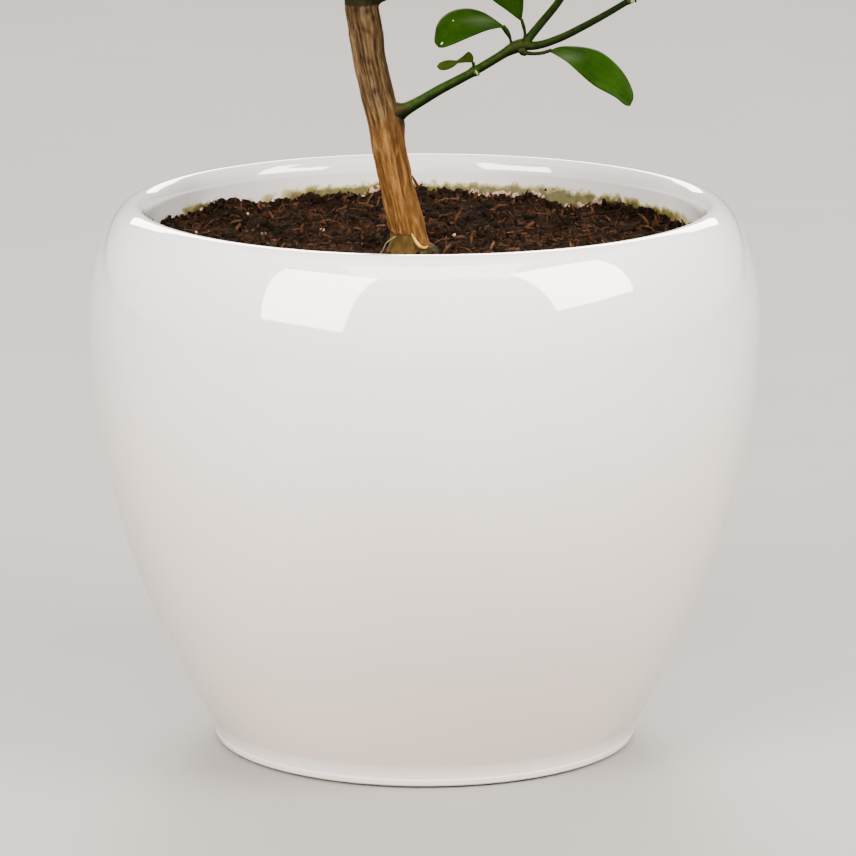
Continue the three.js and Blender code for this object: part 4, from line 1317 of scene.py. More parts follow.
def make_pale_bits(rng):
    """Pale grit: a few grains among the soil, and a broken line of them along the wall."""
    grains = scattered(rng, GRIT["grains"])
    line = []
    for start, end, count in GRIT_LINE:
        for angle in np.linspace(math.radians(start), math.radians(end), count):
            x, y, _ = GRIT["away"] * away_from(angle + rng.normal() * GRIT["unsteady"])
            line.append((x, y, soil_at(x, y) + mix(*GRIT["lift"], rng.random())))
    places = np.concatenate([grains, line])
    size = mix(*GRIT["sizes"], rng.random(len(places)) ** 1.3)
    soil_piece(lumps(rng, places, size, 0.8, 0.35, 1), "grit_pale", "pale grit", "pale")


# What is banked up along the wall. One thing in so many is a speck or a shred.
WALL = dict(
    count=900, speck_each=110, shred_each=4, angles=(-8, 192), away=(87.5, 90.4), rim=91.2,
    lift=0.9, sizes=(0.3, 1.0), speck_away=90.6, speck_lift=(1.4, 3.4), speck_sizes=(0.35, 0.6),
    shred_lengths=(1.4, 3.8), shred_radii=(0.12, 0.3), shred_flat=1.6, shred_stands=(0.6, 1.2),
    grit_angles=[(46, 58), (70, 81)], grit_drop=0.9,  # lower where the pale grit shows
)


def make_wall_crumbs(rng):
    """Crumbs and short shreds banked up along the inner wall, and a few specks above them."""
    places, sizes = [], []
    shreds = Pile()
    for i in range(WALL["count"]):
        speck, shred = i % WALL["speck_each"] == 0, i % WALL["shred_each"] == 1
        angle = mix(*WALL["angles"], rng.random())
        away = WALL["speck_away"] if speck else mix(*WALL["away"], rng.random())
        place = away * away_from(math.radians(angle))
        place[2] = soil_at(place[0], place[1])
        if any(start < angle < end for start, end in WALL["grit_angles"]):
            place[2] -= WALL["grit_drop"]
        draws = rng.random(2)
        if shred:
            length = mix(*WALL["shred_lengths"], draws[0] ** 2)
            radius = mix(*WALL["shred_radii"], draws[1])
            least, more = WALL["shred_stands"]
            standing = least + more * draws[1]
            shreds.add(*fibre(rng, place, length, radius, WALL["shred_flat"], standing))
            continue
        if speck:
            lift, size = mix(*WALL["speck_lift"], draws[0]), mix(*WALL["speck_sizes"], draws[1])
        else:
            lift, size = WALL["lift"] * draws[0] ** 2, mix(*WALL["sizes"], draws[1] ** 2)
        places.append(place + UP * lift)
        sizes.append(size)
    crumbs = lumps(rng, np.array(places), np.array(sizes), 0.75, 0.7)
    soil_piece(crumbs, "crumbs_wall", "wall crumbs", "bed", WALL["rim"])
    soil_piece(shreds, "shreds_wall", "wall shreds", "brown", WALL["rim"])


# ---------------------------------------------------------------- barked limbs

BARK = dict(
    ridge=0.5, ridge_size=1.05, stretch=0.085, lump=0.30, lump_size=6,
    wander=0.8, wander_size=2.2, crack_size=0.85, fine_size=0.4, fine_stretch=2.5,
    relief=0.42, crest=0.50, crack=0.42, fine=0.16, sharpness=4,
    # The outer bark ends in a ragged edge at the foot, which reaches lower on the right.
    edge_left=172.1, edge_right=167.6, edge_turn=(-3.9, -2.6), edge_rag=0.55, thickness=0.5,
    # Painted shade in the crease under that edge: its strength, and its middle and reach above the
    # edge.
    edge_soft=0.18, edge_curl=0.3, edge_curl_at=(0.5, 0.7), edge_crease=0.95,
    edge_crease_at=(-0.3, 0.22),
    spread=1.35, spread_height=1.5,  # the smooth foot under it widens at the soil
    slim=1.5, slim_over=(176, 167),
    # Bends to the right: the middle's height, reach along the trunk, and shift.
    bends=[(234, 7, 0.5), (222, 5, 0.25), (211, 6, 0.35), (244, 4, -0.3)],
    # The node under the crown stands out to the right, where the lowest bough leaves.
    node=(248.2, 2.3), node_out=2.6, node_all_round=0.45,
    waist=(212, 9), waist_in=0.35, collar=(206.8, 4.2), collar_out=1.5,
    # Dark knots on the front, as x, z and size.
    knots=[(-22.0, 243.2, 1.2), (-18.7, 242.8, 1.1), (-16.8, 240.4, 0.9), (-16.1, 217.5, 0.9)],
    knot_long=1.3, knot_dark=0.9, knot_out=0.25,
    # Painted shade in the crease under the shoot: its place and size.
    crease_place=(-7.6, -14.0, 207.6), crease_size=2.3,  # under the shoot
)
TRUNK_ROWS = dict(trunk=190, leader=110, lapped=6, round=144)
# The trunk passes into the leader between two heights, with a swelling at their joint.
JOINT = dict(over=(249.5, 256), swell=0.9, swell_at=(252, 6), widest=8.5, calm=0.4,
             calm_over=(255, 330))
BOUGH = dict(row=1.1, round=40, swell=1.3, swell_length=4.5, relief=0.38)


def bark_relief(points, angles, radius):
    """Long crests and cracks, from 0 in a crack to 1 on a crest, for each point."""
    ring = np.stack([np.cos(angles) * radius, np.sin(angles) * radius,
                     points[:, 2] * BARK["stretch"]], axis=1)
    ring[:, :2] += BARK["wander"] * noise(ring, BARK["wander_size"], 21)[:, None]
    size = BARK["ridge_size"]

    def ridges(size, seed):
        return (1 - np.abs(noise(ring, size, seed))) ** BARK["sharpness"]

    fine = noise(ring * (1, 1, BARK["fine_stretch"]), size * BARK["fine_size"], 23)
    return np.clip(BARK["relief"] + BARK["crest"] * ridges(size, 22)
                   - BARK["crack"] * ridges(size * BARK["crack_size"], 27)
                   + BARK["fine"] * fine, 0, 1)


def spot(points, place, size):
    """1 at a place, fading out over a size, which may differ by axis."""
    return np.exp(-np.sum(((points - vec(place)) / size) ** 2, axis=1))


def dress_foot(skin, outward, angles, push):
    """What only the trunk has: the bark's lower edge, the foot, the collar and the knots.

    Gives how far each point is pushed out, how bare of bark it is, and how dark: painted shade in
    the creases under the shoot and under the bark's edge, and the knots' own dark colour."""
    around = np.stack([np.cos(angles) * 5, np.sin(angles) * 5, np.zeros(len(skin))], axis=1)
    rag = BARK["edge_rag"] * (noise(around, 2.2, 25) + 0.7 * noise(around, 0.8, 26))
    edge = mix(BARK["edge_left"], BARK["edge_right"], smoothstep(skin[:, 0], *BARK["edge_turn"]))
    above = skin[:, 2] - edge - rag
    peeled = 1 - smoothstep(above, -BARK["edge_soft"], BARK["edge_soft"])
    push = push * (1 - 0.8 * peeled) - BARK["thickness"] * peeled
    push += BARK["edge_curl"] * bell(above, *BARK["edge_curl_at"]) * (1 - peeled)
    push -= BARK["slim"] * smoothstep(skin[:, 2], *BARK["slim_over"]) * (1 - peeled)
    low = np.maximum(skin[:, 2] - SOIL["level"], 0)
    push += BARK["spread"] * np.exp(-low / BARK["spread_height"]) * peeled
    collar = bell(skin[:, 2], *BARK["collar"])
    push += BARK["collar_out"] * collar * np.maximum(outward[:, 0], 0) ** 3
    # Painted shade under the shoot and under the bark's edge; the knots below add their own dark
    # colour.
    dark = spot(skin, BARK["crease_place"], BARK["crease_size"])
    dark = np.maximum(dark, BARK["edge_crease"] * bell(above, *BARK["edge_crease_at"]))
    for x, z, size in BARK["knots"]:
        far = np.hypot(skin[:, 0] - x, (skin[:, 2] - z) / BARK["knot_long"]) / size
        knot = bell(far, 0, 1) * (outward[:, 1] < 0)
        dark = np.maximum(dark, BARK["knot_dark"] * knot)
        push += BARK["knot_out"] * knot
    return push, peeled, dark


def barked_tube(name, path, radii, sides, replaces, look, depth, foot=False):
    """A limb whose skin has the relief of bark, kept as an attribute for its colour too."""
    path = np.asarray(path, float)
    points, quads, ends = tube(path, radii, sides)
    skin = points[:len(path) * sides]
    outward = skin - np.repeat(path, sides, axis=0)
    radius = np.linalg.norm(outward, axis=1)
    outward /= radius[:, None]
    angles = np.arctan2(outward[:, 1], outward[:, 0])
    depth = np.broadcast_to(np.asarray(depth, float), (len(path),)).repeat(sides)
    relief = bark_relief(skin, angles, np.maximum(radius, 1.5))
    lumpy = noise(skin, BARK["lump_size"], 24)
    push = depth * (BARK["ridge"] * (relief - 0.5) + BARK["lump"] * lumpy)
    peeled, crease = np.zeros(len(skin)), np.zeros(len(skin))
    if foot:
        push, peeled, crease = dress_foot(skin, outward, angles, push)
    skin += outward * push[:, None]
    piece = make_piece(name, points, [quads, ends], look, "bark", replaces)
    keep_values(piece, relief=relief, peeled=peeled, crease=crease)


def keep_values(piece, **values):
    """Stores a number for each point, for the materials."""
    for key, numbers in values.items():
        store = piece.data.attributes.new(key, "FLOAT", "POINT")
        whole = np.zeros(len(piece.data.vertices), np.float32)
        whole[:len(numbers)] = numbers
        store.data.foreach_set("value", whole)


def make_trunk(trunk, leader, look):
    """Trunk and leader in one mesh, sunk a little into the soil."""
    low = [trunk.curve.at(s) for s in np.linspace(0.03, 1, TRUNK_ROWS["trunk"])]
    high = [leader.curve.at(s) for s in np.linspace(0.04, 1, TRUNK_ROWS["leader"])]
    path = np.array(low[:-TRUNK_ROWS["lapped"]] + high)
    height = path[:, 2]
    for middle, reach, shift in BARK["bends"]:
        path[:, 0] += shift * bell(height, middle, reach)
    share = np.clip((height - TRUNK["top"][2]) / (LEADER["tip"][2] - TRUNK["top"][2]), 0, 1)
    above = mix(*LEADER["radii"], share) + JOINT["swell"] * bell(height, *JOINT["swell_at"])
    below = np.minimum(trunk_radius(height), JOINT["widest"])
    radii = mix(below, above, smoothstep(height, *JOINT["over"]))
    radii = radii - BARK["waist_in"] * bell(height, *BARK["waist"])
    angles = full_turn(TRUNK_ROWS["round"])
    _, across, upward = frames_along(path)
    right = across[:, :1] * np.cos(angles) + upward[:, :1] * np.sin(angles)
    out = BARK["node_all_round"] + BARK["node_out"] * np.maximum(right, 0) ** 3
    radii = radii[:, None] + bell(height, *BARK["node"])[:, None] * out
    depth = mix(1.0, JOINT["calm"], smoothstep(height, *JOINT["calm_over"]))
    barked_tube("trunk_bark", path, radii, TRUNK_ROWS["round"], ["trunk", "bough_leader"], look,
                depth, foot=True)


def make_boughs(boughs, look):
    for bough in boughs:
        count = int(bough.curve.length / BOUGH["row"])
        share = np.linspace(0, 1, count)
        swell = BOUGH["swell"] * np.exp(-share * bough.curve.length / BOUGH["swell_length"])
        radii = (bough.radii(share) + swell)[:, None]
        barked_tube(f"{bough.name}_bark", bough.curve.points(count), radii, BOUGH["round"],
                    [bough.name], look, BOUGH["relief"])


# ---------------------------------------------------------------- the green shoot

# Outlines of the leaves by the shoot's fork: far edge, midrib and near edge, base to tip.
NEAR_LEAVES = dict(
    left=dict(
        far=[(25.6, -19.5, 238.9), (20.4, -18.2, 242.5), (17.4, -17.4, 243.8), (13.4, -17.0, 244.5),
             (9.0, -17.2, 243.8), (5.7, -18.2, 241.9), (3.8, -20.0, 239.4), (3.2, -22.5, 236.8),
             (3.1, -25.0, 234.6), (4.4, -27.0, 233.2)],
        rib=[(25.6, -19.5, 238.8), (21.6, -20.2, 239.9), (17.4, -21.0, 240.6), (12.8, -22.2, 240.2),
             (8.0, -24.2, 237.6), (4.4, -27.0, 233.2)],
        near=[(25.6, -19.5, 238.7), (20.6, -22.5, 238.2), (15.0, -26.0, 236.6), (8.9, -28.8, 234.4),
              (5.9, -28.2, 233.3), (4.4, -27.0, 233.2)]),
    right=dict(
        far=[(39.3, -19.8, 231.0), (43.1, -19.0, 232.4), (47.2, -18.5, 232.5), (51.8, -18.8, 232.1),
             (55.9, -19.5, 231.0), (59.9, -21.0, 228.4), (63.4, -23.0, 224.8), (65.9, -25.5, 220.6),
             (66.7, -27.0, 217.2), (65.6, -28.2, 214.5)],
        rib=[(39.3, -19.8, 231.0), (46.0, -21.3, 230.7), (53.0, -23.2, 227.6), (59.2, -25.4, 222.8),
             (63.4, -27.0, 218.0), (65.6, -28.2, 214.5)],
        near=[(39.3, -19.8, 230.9), (41.0, -21.5, 230.4), (45.5, -25.0, 228.1),
              (49.6, -27.5, 224.7), (54.1, -29.5, 221.2), (60.7, -30.0, 217.6),
              (64.0, -29.0, 214.9), (65.6, -28.2, 214.5)]),
    upright=dict(
        far=[(31.0, -18.9, 240.6), (31.6, -18.5, 246.0), (31.0, -18.5, 254.5), (26.6, -19.5, 263.5),
             (20.6, -21.5, 271.2)],
        rib=[(30.9, -18.9, 240.5), (28.6, -20.5, 245.9), (25.6, -21.5, 252.7), (22.9, -22, 260.5),
             (20.6, -21.5, 271.2)],
        near=[(30.9, -18.9, 240.4), (26.2, -21.5, 244.3), (20.6, -23.5, 249), (17.0, -24, 256.5),
              (17.2, -23, 264.5), (20.6, -21.5, 271.2)]),
    wing=dict(
        far=[(15.6, -16.9, 227.0), (15.5, -16.4, 229.0), (14.1, -16.6, 230.4), (12.2, -17.3, 229.1),
             (10.3, -17.8, 227.8), (9.3, -18.1, 227.3)],
        rib=[(15.5, -17.0, 226.9), (13.6, -17.2, 228.0), (11.4, -17.8, 227.8), (9.3, -18.1, 227.1)],
        near=[(15.5, -17.1, 226.8), (13.5, -17.6, 227.0), (11.7, -18.0, 226.9),
              (9.3, -18.1, 226.7)]),
    small=dict(
        far=[(11.0, -17.9, 227.7), (8.9, -18.2, 227.9), (6.9, -18.5, 227.9), (4.6, -19.2, 227.1),
             (3.8, -19.6, 226.0)],
        rib=[(11.0, -17.9, 227.4), (8.3, -18.9, 226.9), (6.2, -19.4, 226.4), (3.8, -19.6, 226.0)],
        near=[(11.0, -17.9, 227.1), (9.2, -19.2, 225.8), (6.9, -19.9, 224.9), (4.8, -20.1, 225.0),
              (3.8, -19.6, 226.0)]),
)
# Where those leaves carry a painted sheen, and how far.
NEAR_PAINTED_SHEEN = [((17.8, -19.5, 240.9), (5.0, 6, 1.5)), ((45.5, -22.5, 229.6), (4.5, 6, 1.6))]
# Stalks of those leaves, with their radii.
NEAR_STALKS = [
    ([(27.9, -18, 232.2), (27.3, -18.4, 235.0), (26.1, -19.0, 237.4), (25.0, -19.5, 238.9)],
     (0.60, 0.45, 0.88, 0.85)),
    ([(32.0, -18.2, 234.0), (32.0, -18.4, 237.0), (31.5, -18.8, 239.2), (30.9, -19.0, 241.2)],
     (0.62, 0.46, 0.60, 0.50)),
    ([(31.6, -18.6, 230.4), (34.6, -19.2, 230.1), (37.6, -19.5, 230.4), (40.6, -19.9, 231.4)],
     (0.80, 0.60, 0.62, 0.60)),
    ([(16.1, -16.1, 223.6), (15.8, -16.5, 225.0), (15.5, -16.9, 227.0)], (0.62, 0.50, 0.55)),
]
SHOOT_PATH = [SHOOT["root"], (-6.2, -12.2, 211.7), SHOOT["bend"], (4.8, -14.0, 217.8),
              SHOOT["tip"], (22.2, -16.6, 227.8), (28.0, -17.6, 231.5), (31.6, -18, 233.2)]
# The twigs of the shoot's mass, with the bends of their lower parts followed more closely.
SHOOT_TWIGS = [[(31.2, -18, 232.4), (37.2, -16, 239.4), (43.5, -12.3, 246.8), (52, -6, 262),
                (54, -4, 276)],
               [(31.2, -18, 232.6), (36.0, -18.6, 232.7), (43.3, -20, 235.3), (50.7, -21.4, 239.2),
                (58.2, -22.4, 243.5), (63.9, -23, 247.0), (66.0, -23, 248.2), (70, -21, 268)]]
# Where the shoot is brown and woody: at its root, at its fork and at the right twig's node.
WOODY = [((-9.0, -12.6, 208.6), 6.2, 1.0), ((30.6, -18.4, 231.8), 4.6, 0.45),
         ((66.2, -23, 248.0), 1.6, 1.0)]

# The mesh of a leaf by the fork, its side veins, the groove of its midrib, and its bulge.
NEAR_BLADE = dict(
    thickness=0.45, rows=44, columns=16, veins=9, vein_lean=1.7, vein_depth=0.02, vein_span=15,
    vein_power=8, groove=0.13, groove_width=0.10, groove_full=8, bulge=0.03, full_width=3,
)


def near_leaf(pile, under, edges, thickness=NEAR_BLADE["thickness"], rows=NEAR_BLADE["rows"],
              columns=NEAR_BLADE["columns"]):
    """A leaf laid between its two edges and its midrib, with sunken veins."""
    shares = 0.5 - 0.5 * np.cos(np.linspace(0, math.pi, rows + 1))
    far, rib, near = (np.array([smooth_curve(edges[k]).at(s) for s in shares])
                      for k in ("far", "rib", "near"))
    across = np.linspace(-1, 1, columns + 1)
    size = np.linalg.norm(far - near, axis=1)[:, None]
    side = np.where(across[None, :, None] < 0, (near - rib)[:, None], (far - rib)[:, None])
    sheet = rib[:, None] + side * np.abs(across)[None, :, None]
    up = np.cross(np.gradient(rib, axis=0), near - far)
    up /= np.maximum(np.linalg.norm(up, axis=1), 1e-9)[:, None]
    up[0], up[-1] = up[1], up[-2]
    if np.mean(up[:, 2]) < 0:
        up = -up
    away = np.abs(across)[None]
    # Side veins run forward from the midrib, and the blade is a little raised between them.
    vein = np.cos((shares[:, None] * NEAR_BLADE["veins"] - away * NEAR_BLADE["vein_lean"])
                  * 2 * math.pi)
    relief = (NEAR_BLADE["vein_depth"] * size / NEAR_BLADE["vein_span"]
              * (1 - vein ** NEAR_BLADE["vein_power"]) * np.sin(math.pi * away) ** 0.5)
    groove = (-NEAR_BLADE["groove"] * bell(away, 0, NEAR_BLADE["groove_width"])
              * np.minimum(size / NEAR_BLADE["groove_full"], 1))
    bulge = NEAR_BLADE["bulge"] * size * np.sin(math.pi * away)
    lift = (relief + groove + bulge) * np.where(away < 1, 1, 0)
    half = (thickness / 2 * (1 - away ** 4)
            * np.minimum(size / NEAR_BLADE["full_width"], 1))
    upper = sheet + up[:, None] * (lift + half)[..., None]
    lower = (sheet + up[:, None] * (lift - half)[..., None])[1:-1, 1:-1]
    faces, below = blade_faces(rows, columns)
    at = upper[rows // 2:, columns // 2 + 1:]
    if np.dot(np.cross(at[0, 1] - at[0, 0], at[1, 0] - at[0, 0]), up[rows // 2]) < 0:
        faces = faces[:, ::-1]
    under.append(below)
    pile.add(np.concatenate([upper.reshape(-1, 3), lower.reshape(-1, 3)]), quads=faces)
    return upper.reshape(-1, 3)


def two_sided(piece, under, material):
    """Gives the undersides of leaves their own paler material."""
    piece.data.materials.append(material)
    piece.data.polygons.foreach_set("material_index", np.asarray(under, np.int32))


# The green shoot, its twigs and the stalks on it. Swellings are height, share and reach.
GREEN = dict(
    rows=90, sides=20, radii=(1.56, 1.44), thick=0.34, thick_until=0.52, root=0.42,
    root_reach=0.12, hangs=1.1, swellings=[(1.5, 0, 0.05), (0.28, 0.61, 0.018), (0.65, 0.95, 0.07)],
    twig_rows=80, twig_sides=16, twig_extra=(0.13, 0.05),
    twig_swellings=[(0.25, 0, 0.06), (0.3, 0.66, 0.012)],
    stalk_rows=24, stalk_sides=12, stalk_foot=0.35, stalk_foot_rows=3, stalk_shade=0.45,
    # Painted shade: darker undersides, darker still on the twigs past the fork and under the root,
    # and stalks darker all over.
    under=0.9, under_over=(-0.30, 0.45), twig_x=(32.5, 36), twig_under=0.75,
    twig_under_over=(-1.0, 0.2), root_size=(6.5, 4), root_under_over=(-0.5, 0.1),
)
# Buds, as place, size and length for their width.
BUDS = [((31.2, -19.2, 230.8), 1.35, 1.5), ((34.3, -18.0, 234.8), 0.5, 1.2),
        ((16.4, -17.3, 223.6), 0.75, 1.0), ((67.0, -22.9, 247.9), 0.95, 1.0)]
# The pale scar under the small leaf, and the pale node where the right twig ends its year.
SCARS = [(16.6, -17.5, 223.7), (66.0, -23.9, 247.9)]
SCAR_SIZES = (0.62, 0.95)


def add_shoot_wood(pile):
    """The shoot itself, then both twigs, then the stalks of the leaves by its fork."""
    path = smooth_curve(SHOOT_PATH).points(GREEN["rows"])
    share = np.linspace(0, 1, GREEN["rows"])
    thicker = (GREEN["thick"] * np.maximum(0, 1 - share / GREEN["thick_until"])
               + GREEN["root"] * bell(share, 0, GREEN["root_reach"]))
    path[:, 2] -= GREEN["hangs"] * thicker
    radii = mix(*GREEN["radii"], share) + thicker
    for height, middle, reach in GREEN["swellings"]:
        radii = radii + height * bell(share, middle, reach)
    pile.add(*tube(path, radii, GREEN["sides"]))
    share = np.linspace(0, 1, GREEN["twig_rows"])
    for points, ends in zip(SHOOT_TWIGS, SHOOT_MASS["twig_radii"]):
        start, end = (radius + extra for radius, extra in zip(ends, GREEN["twig_extra"]))
        radii = mix(start, end, share)
        for height, middle, reach in GREEN["twig_swellings"]:
            radii = radii + height * bell(share, middle, reach)
        way = smooth_curve(points).points(GREEN["twig_rows"])
        pile.add(*tube(way, radii, GREEN["twig_sides"]))
    rows = GREEN["stalk_rows"]
    for points, radii in NEAR_STALKS:
        radii = np.interp(np.linspace(0, 1, rows), np.linspace(0, 1, len(radii)), radii)
        radii[:GREEN["stalk_foot_rows"]] += GREEN["stalk_foot"]
        pile.add(*tube(smooth_curve(points).points(rows), radii, GREEN["stalk_sides"]))


def make_shoot(looks):
    """The shoot, its fork, both twigs, its leaf stalks and buds, where they are woody, and where
    painted shade darkens them.
    """
    pile = Pile()
    add_shoot_wood(pile)
    rng = np.random.default_rng(31)
    for place, size, long in BUDS:
        bud = lumps(rng, vec([place]), np.array([size]), long, 0.15, 3)
        pile.add(bud.points[0], triangles=bud.triangles[0])
    piece = pile.piece("shoot_green", looks["stem"], "green_stem", ["shoot_bough"])
    points = np.concatenate(pile.points)
    woody = np.zeros(len(points))
    for place, size, share in WOODY:
        far = np.linalg.norm(points - vec(place), axis=1)
        woody = np.maximum(woody, share * (1 - smoothstep(far, size * 0.5, size)))
    normals = np.empty(len(points) * 3, np.float32)
    piece.data.vertices.foreach_get("normal", normals)
    down = -normals[2::3]
    twig = GREEN["twig_under"] * smoothstep(points[:, 0], *GREEN["twig_x"])
    root = np.linalg.norm(points - vec(SHOOT["root"]), axis=1)
    shade = GREEN["under"] * smoothstep(down, *GREEN["under_over"])
    shade = np.maximum(shade, twig * smoothstep(down, *GREEN["twig_under_over"]))
    ends = np.cumsum([len(part) for part in pile.points])
    first = 1 + len(SHOOT_TWIGS)  # the shoot and its twigs come before the stalks
    stalks = slice(ends[first - 1], ends[first + len(NEAR_STALKS) - 1])
    shade[stalks] = np.maximum(shade[stalks], GREEN["stalk_shade"])
    root = smoothstep(root, *GREEN["root_size"]) * smoothstep(down, *GREEN["root_under_over"])
    keep_values(piece, woody=woody, shade=np.maximum(shade, root))
    scars = lumps(rng, vec(SCARS), np.array(SCAR_SIZES), 0.8, 0.15, 3)
    scars.piece("shoot_scars", looks["scar"], "green_stem")


# ---------------------------------------------------------------- crown

TWIG = dict(row=2.5, least_rows=6, stem_sides=8, sides=6, sunk=2.5, swell=0.5, swell_length=2)


def add_twigs(mass, growth, brown, green):
    """A mass's stem, in young bark, and its green twigs, thicker where they leave it."""
    for i, twig in enumerate(growth["twigs"]):
        length = twig.curve.length
        path = twig.curve.points(max(TWIG["least_rows"], int(length / TWIG["row"])))
        if i == 0:  # the stem starts inside the bough's tip
            path = np.concatenate([[path[0] - mass["heading"] * TWIG["sunk"]], path])
            brown.add(*tube(path, twig.radii(np.linspace(0, 1, len(path))), TWIG["stem_sides"]))
            continue
        share = np.linspace(0, 1, len(path))
        swell = TWIG["swell"] * np.exp(-share * length / TWIG["swell_length"])
        green.add(*tube(path, twig.radii(share) + swell, TWIG["sides"]))


def add_leaves(mass, growth, tints, green, inside, beads):
    """True leaves for a mass, dealt out among the tints: single ones on the shoot, else sprays."""
    for index, leaf in enumerate(growth["leaves"]):
        if mass["name"] == "mass_shoot":
            draw = random_from(mass["seed"] * SPRAY["seed_step"] + index)
            width = np.linalg.norm(leaf["tip"] - leaf["root"]) * SPRAY["leaf_width"]
            tints[index % len(tints)].append(
                true_leaf(leaf["root"], leaf["tip"], leaf["face"], width, draw))
            continue
        twig, leaves, tint = grow_spray(mass, leaf, index, growth, inside, beads)
        radii = mix(*SPRAY["radii"], np.linspace(0, 1, SPRAY["rows"]))
        green.add(*tube(twig.points(SPRAY["rows"]), radii, SPRAY["sides"]))
        tints[int(tint * len(tints))].extend(leaves)


def make_crown(limbs, masses, looks):
    """Twigs, sprays and leaves of every mass, joined by kind, and the fruit."""
    beads = limb_beads(limbs)
    tints = [[] for _ in looks["leaves"]]
    brown, green, fruit, stalks = Pile(), Pile(), Pile(), Pile()
    for number, mass in enumerate(masses):
        inside = make_space(masses, mass)
        mass["from"], mass["heading"] = mass["bough"].curve.at(1), mass["bough"].curve.heading(1)
        if mass["name"] == "mass_shoot":  # its twigs are made with the shoot
            growth = grow_shoot_mass(mass, inside, beads)
        else:
            growth = grow_mass(mass, inside, beads)
            add_twigs(mass, growth, brown, green)
        growth["middles"] = []
        add_leaves(mass, growth, tints, green, inside, beads)
        for middle in growth["fruits"]:
            fruit.add(*fruit_points(middle, number))
            hang_stalk(stalks, next(twig for twig in growth["twigs"] if twig.bears), middle)
    brown.piece("twigs_brown", looks["twig"], "bark")
    green.piece("twigs_green", looks["stem"], "green_stem")
    fruit.piece("fruit_peel", looks["peel"], "foliage")
    stalks.piece("fruit_stalks", looks["stem"], "green_stem")
    faces, under = blade_faces(len(LEAF["rows"]) - 1, LEAF["columns"])
    for number, (leaves, look) in enumerate(zip(tints, looks["leaves"]), 1):
        points = leaf_points(leaves)
        steps = np.arange(len(leaves))[:, None, None] * points.shape[1]
        piece = make_piece(f"leaves_{number}", points.reshape(-1, 3),
                           [(faces[None] + steps).reshape(-1, 4)], look, "foliage",
                           FOLIAGE if number == 1 else ())
        two_sided(piece, np.tile(under, len(leaves)), looks["underside"])


STALK = dict(leaves_twig_at=0.97, rim=0.93, bow=0.6, rows=6, sides=8, radii=(0.7, 0.95),
             lobes=5, lobe=2.4, lobe_lift=0.25, lobe_sunk=0.1, lobe_bend=0.15,
             lobe_radii=[0.8, 0.7, 0.2], lobe_sides=6)


def hang_stalk(pile, twig, middle):
    """The short stalk and the small green star that hold a fruit."""
    start = twig.curve.at(STALK["leaves_twig_at"])
    away = unit(middle - start)
    rim = middle - away * FRUIT["radius"] * STALK["rim"]
    bend = (start + rim) / 2 + twig.direction * STALK["bow"]
    pile.add(*tube(bent_curve(start, bend, rim).points(STALK["rows"]),
                   np.linspace(*STALK["radii"], STALK["rows"]), STALK["sides"]))
    side = unit(np.cross(away, UP + 0.1 * away))
    for i in range(STALK["lobes"]):
        lobe = rotate(side, away, i * 2 * math.pi / STALK["lobes"])
        tip = rim + lobe * STALK["lobe"] + away * STALK["lobe_lift"]
        path = [rim - away * STALK["lobe_sunk"], (rim + tip) / 2 - away * STALK["lobe_bend"], tip]
        pile.add(*tube(path, STALK["lobe_radii"], STALK["lobe_sides"]))


# Two pale beads on the left leaf, as x, z and size: painted glints of light.
PAINTED_GLINTS = [(9.0, 240.6, 0.50), (5.5, 234.6, 0.40)]


def make_near_leaves(looks):
    """The leaves by the shoot's fork, and the small leaf of two blades further down."""
    pile, under = Pile(), []
    tops = {name: near_leaf(pile, under, NEAR_LEAVES[name])
            for name in ("left", "right", "upright")}
    piece = pile.piece("shoot_leaves", looks["near"], "foliage")
    two_sided(piece, np.concatenate(under), looks["underside"])
    points = np.concatenate(pile.points)
    # Painted sheen on the left and right leaves.
    pale = sum(spot(points, place, size) for place, size in NEAR_PAINTED_SHEEN)
    keep_values(piece, pale=np.minimum(pale, 1))
    top = tops["left"]
    # Painted glints: pale glossy beads on the left leaf's upper face.
    beads = [top[np.argmin((top[:, 0] - x) ** 2 + (top[:, 2] - z) ** 2)] for x, z, _ in PAINTED_GLINTS]
    sizes = np.array([size for _, _, size in PAINTED_GLINTS])
    glint_lumps = lumps(np.random.default_rng(5), vec(beads), sizes, 0.9, 0.05, 3)
    glint_lumps.piece("painted_glint_beads", looks["painted_glint"], "foliage")
    pile, under = Pile(), []
    for name in ("wing", "small"):
        near_leaf(pile, under, NEAR_LEAVES[name], thickness=0.3, rows=20, columns=8)
    piece = pile.piece("shoot_leaf_winged", looks["dull"], "foliage")
    two_sided(piece, np.concatenate(under), looks["dull"])


# ---------------------------------------------------------------- small things at the foot

STRIP = dict(rows=26, sides=10, radii=(0.38, 0.62), tapers=(0.07, 0.9), path=[
    (-4.2, -24.2, 172.5), (-3.4, -24.7, 171.0), (-2.4, -25.0, 169.4), (-1.2, -25.0, 168.3),
    (-0.1, -24.8, 167.9), (0.9, -24.4, 168.4)])
ROOT = dict(rows=24, sides=8, radii=(0.26, 0.15), path=[
    (-9.4, -22.6, 171.3), (-10.9, -23.2, 170.4), (-12.5, -23.8, 169.2), (-13.4, -24.4, 167.4),
    (-14.6, -25.4, 165.6)])


def make_foot_details(looks):
    """The curled strip of peeled bark and the thin root at the trunk's foot."""
    share = np.linspace(0, 1, STRIP["rows"])
    start, span = STRIP["tapers"]
    tapers = np.sin(math.pi * np.clip(share * span + start, 0, 1)) ** 0.5
    root_radii = np.linspace(*ROOT["radii"], ROOT["rows"])
    for name, kind, radii, look in (
            ("bark_strip", STRIP, mix(*STRIP["radii"], share) * tapers, "strip"),
            ("foot_root", ROOT, root_radii, "root")):
        pile = Pile()
        pile.add(*tube(smooth_curve(kind["path"]).points(kind["rows"]), radii, kind["sides"]))
        pile.piece(name, looks[look], "bark")


# ---------------------------------------------------------------- stage

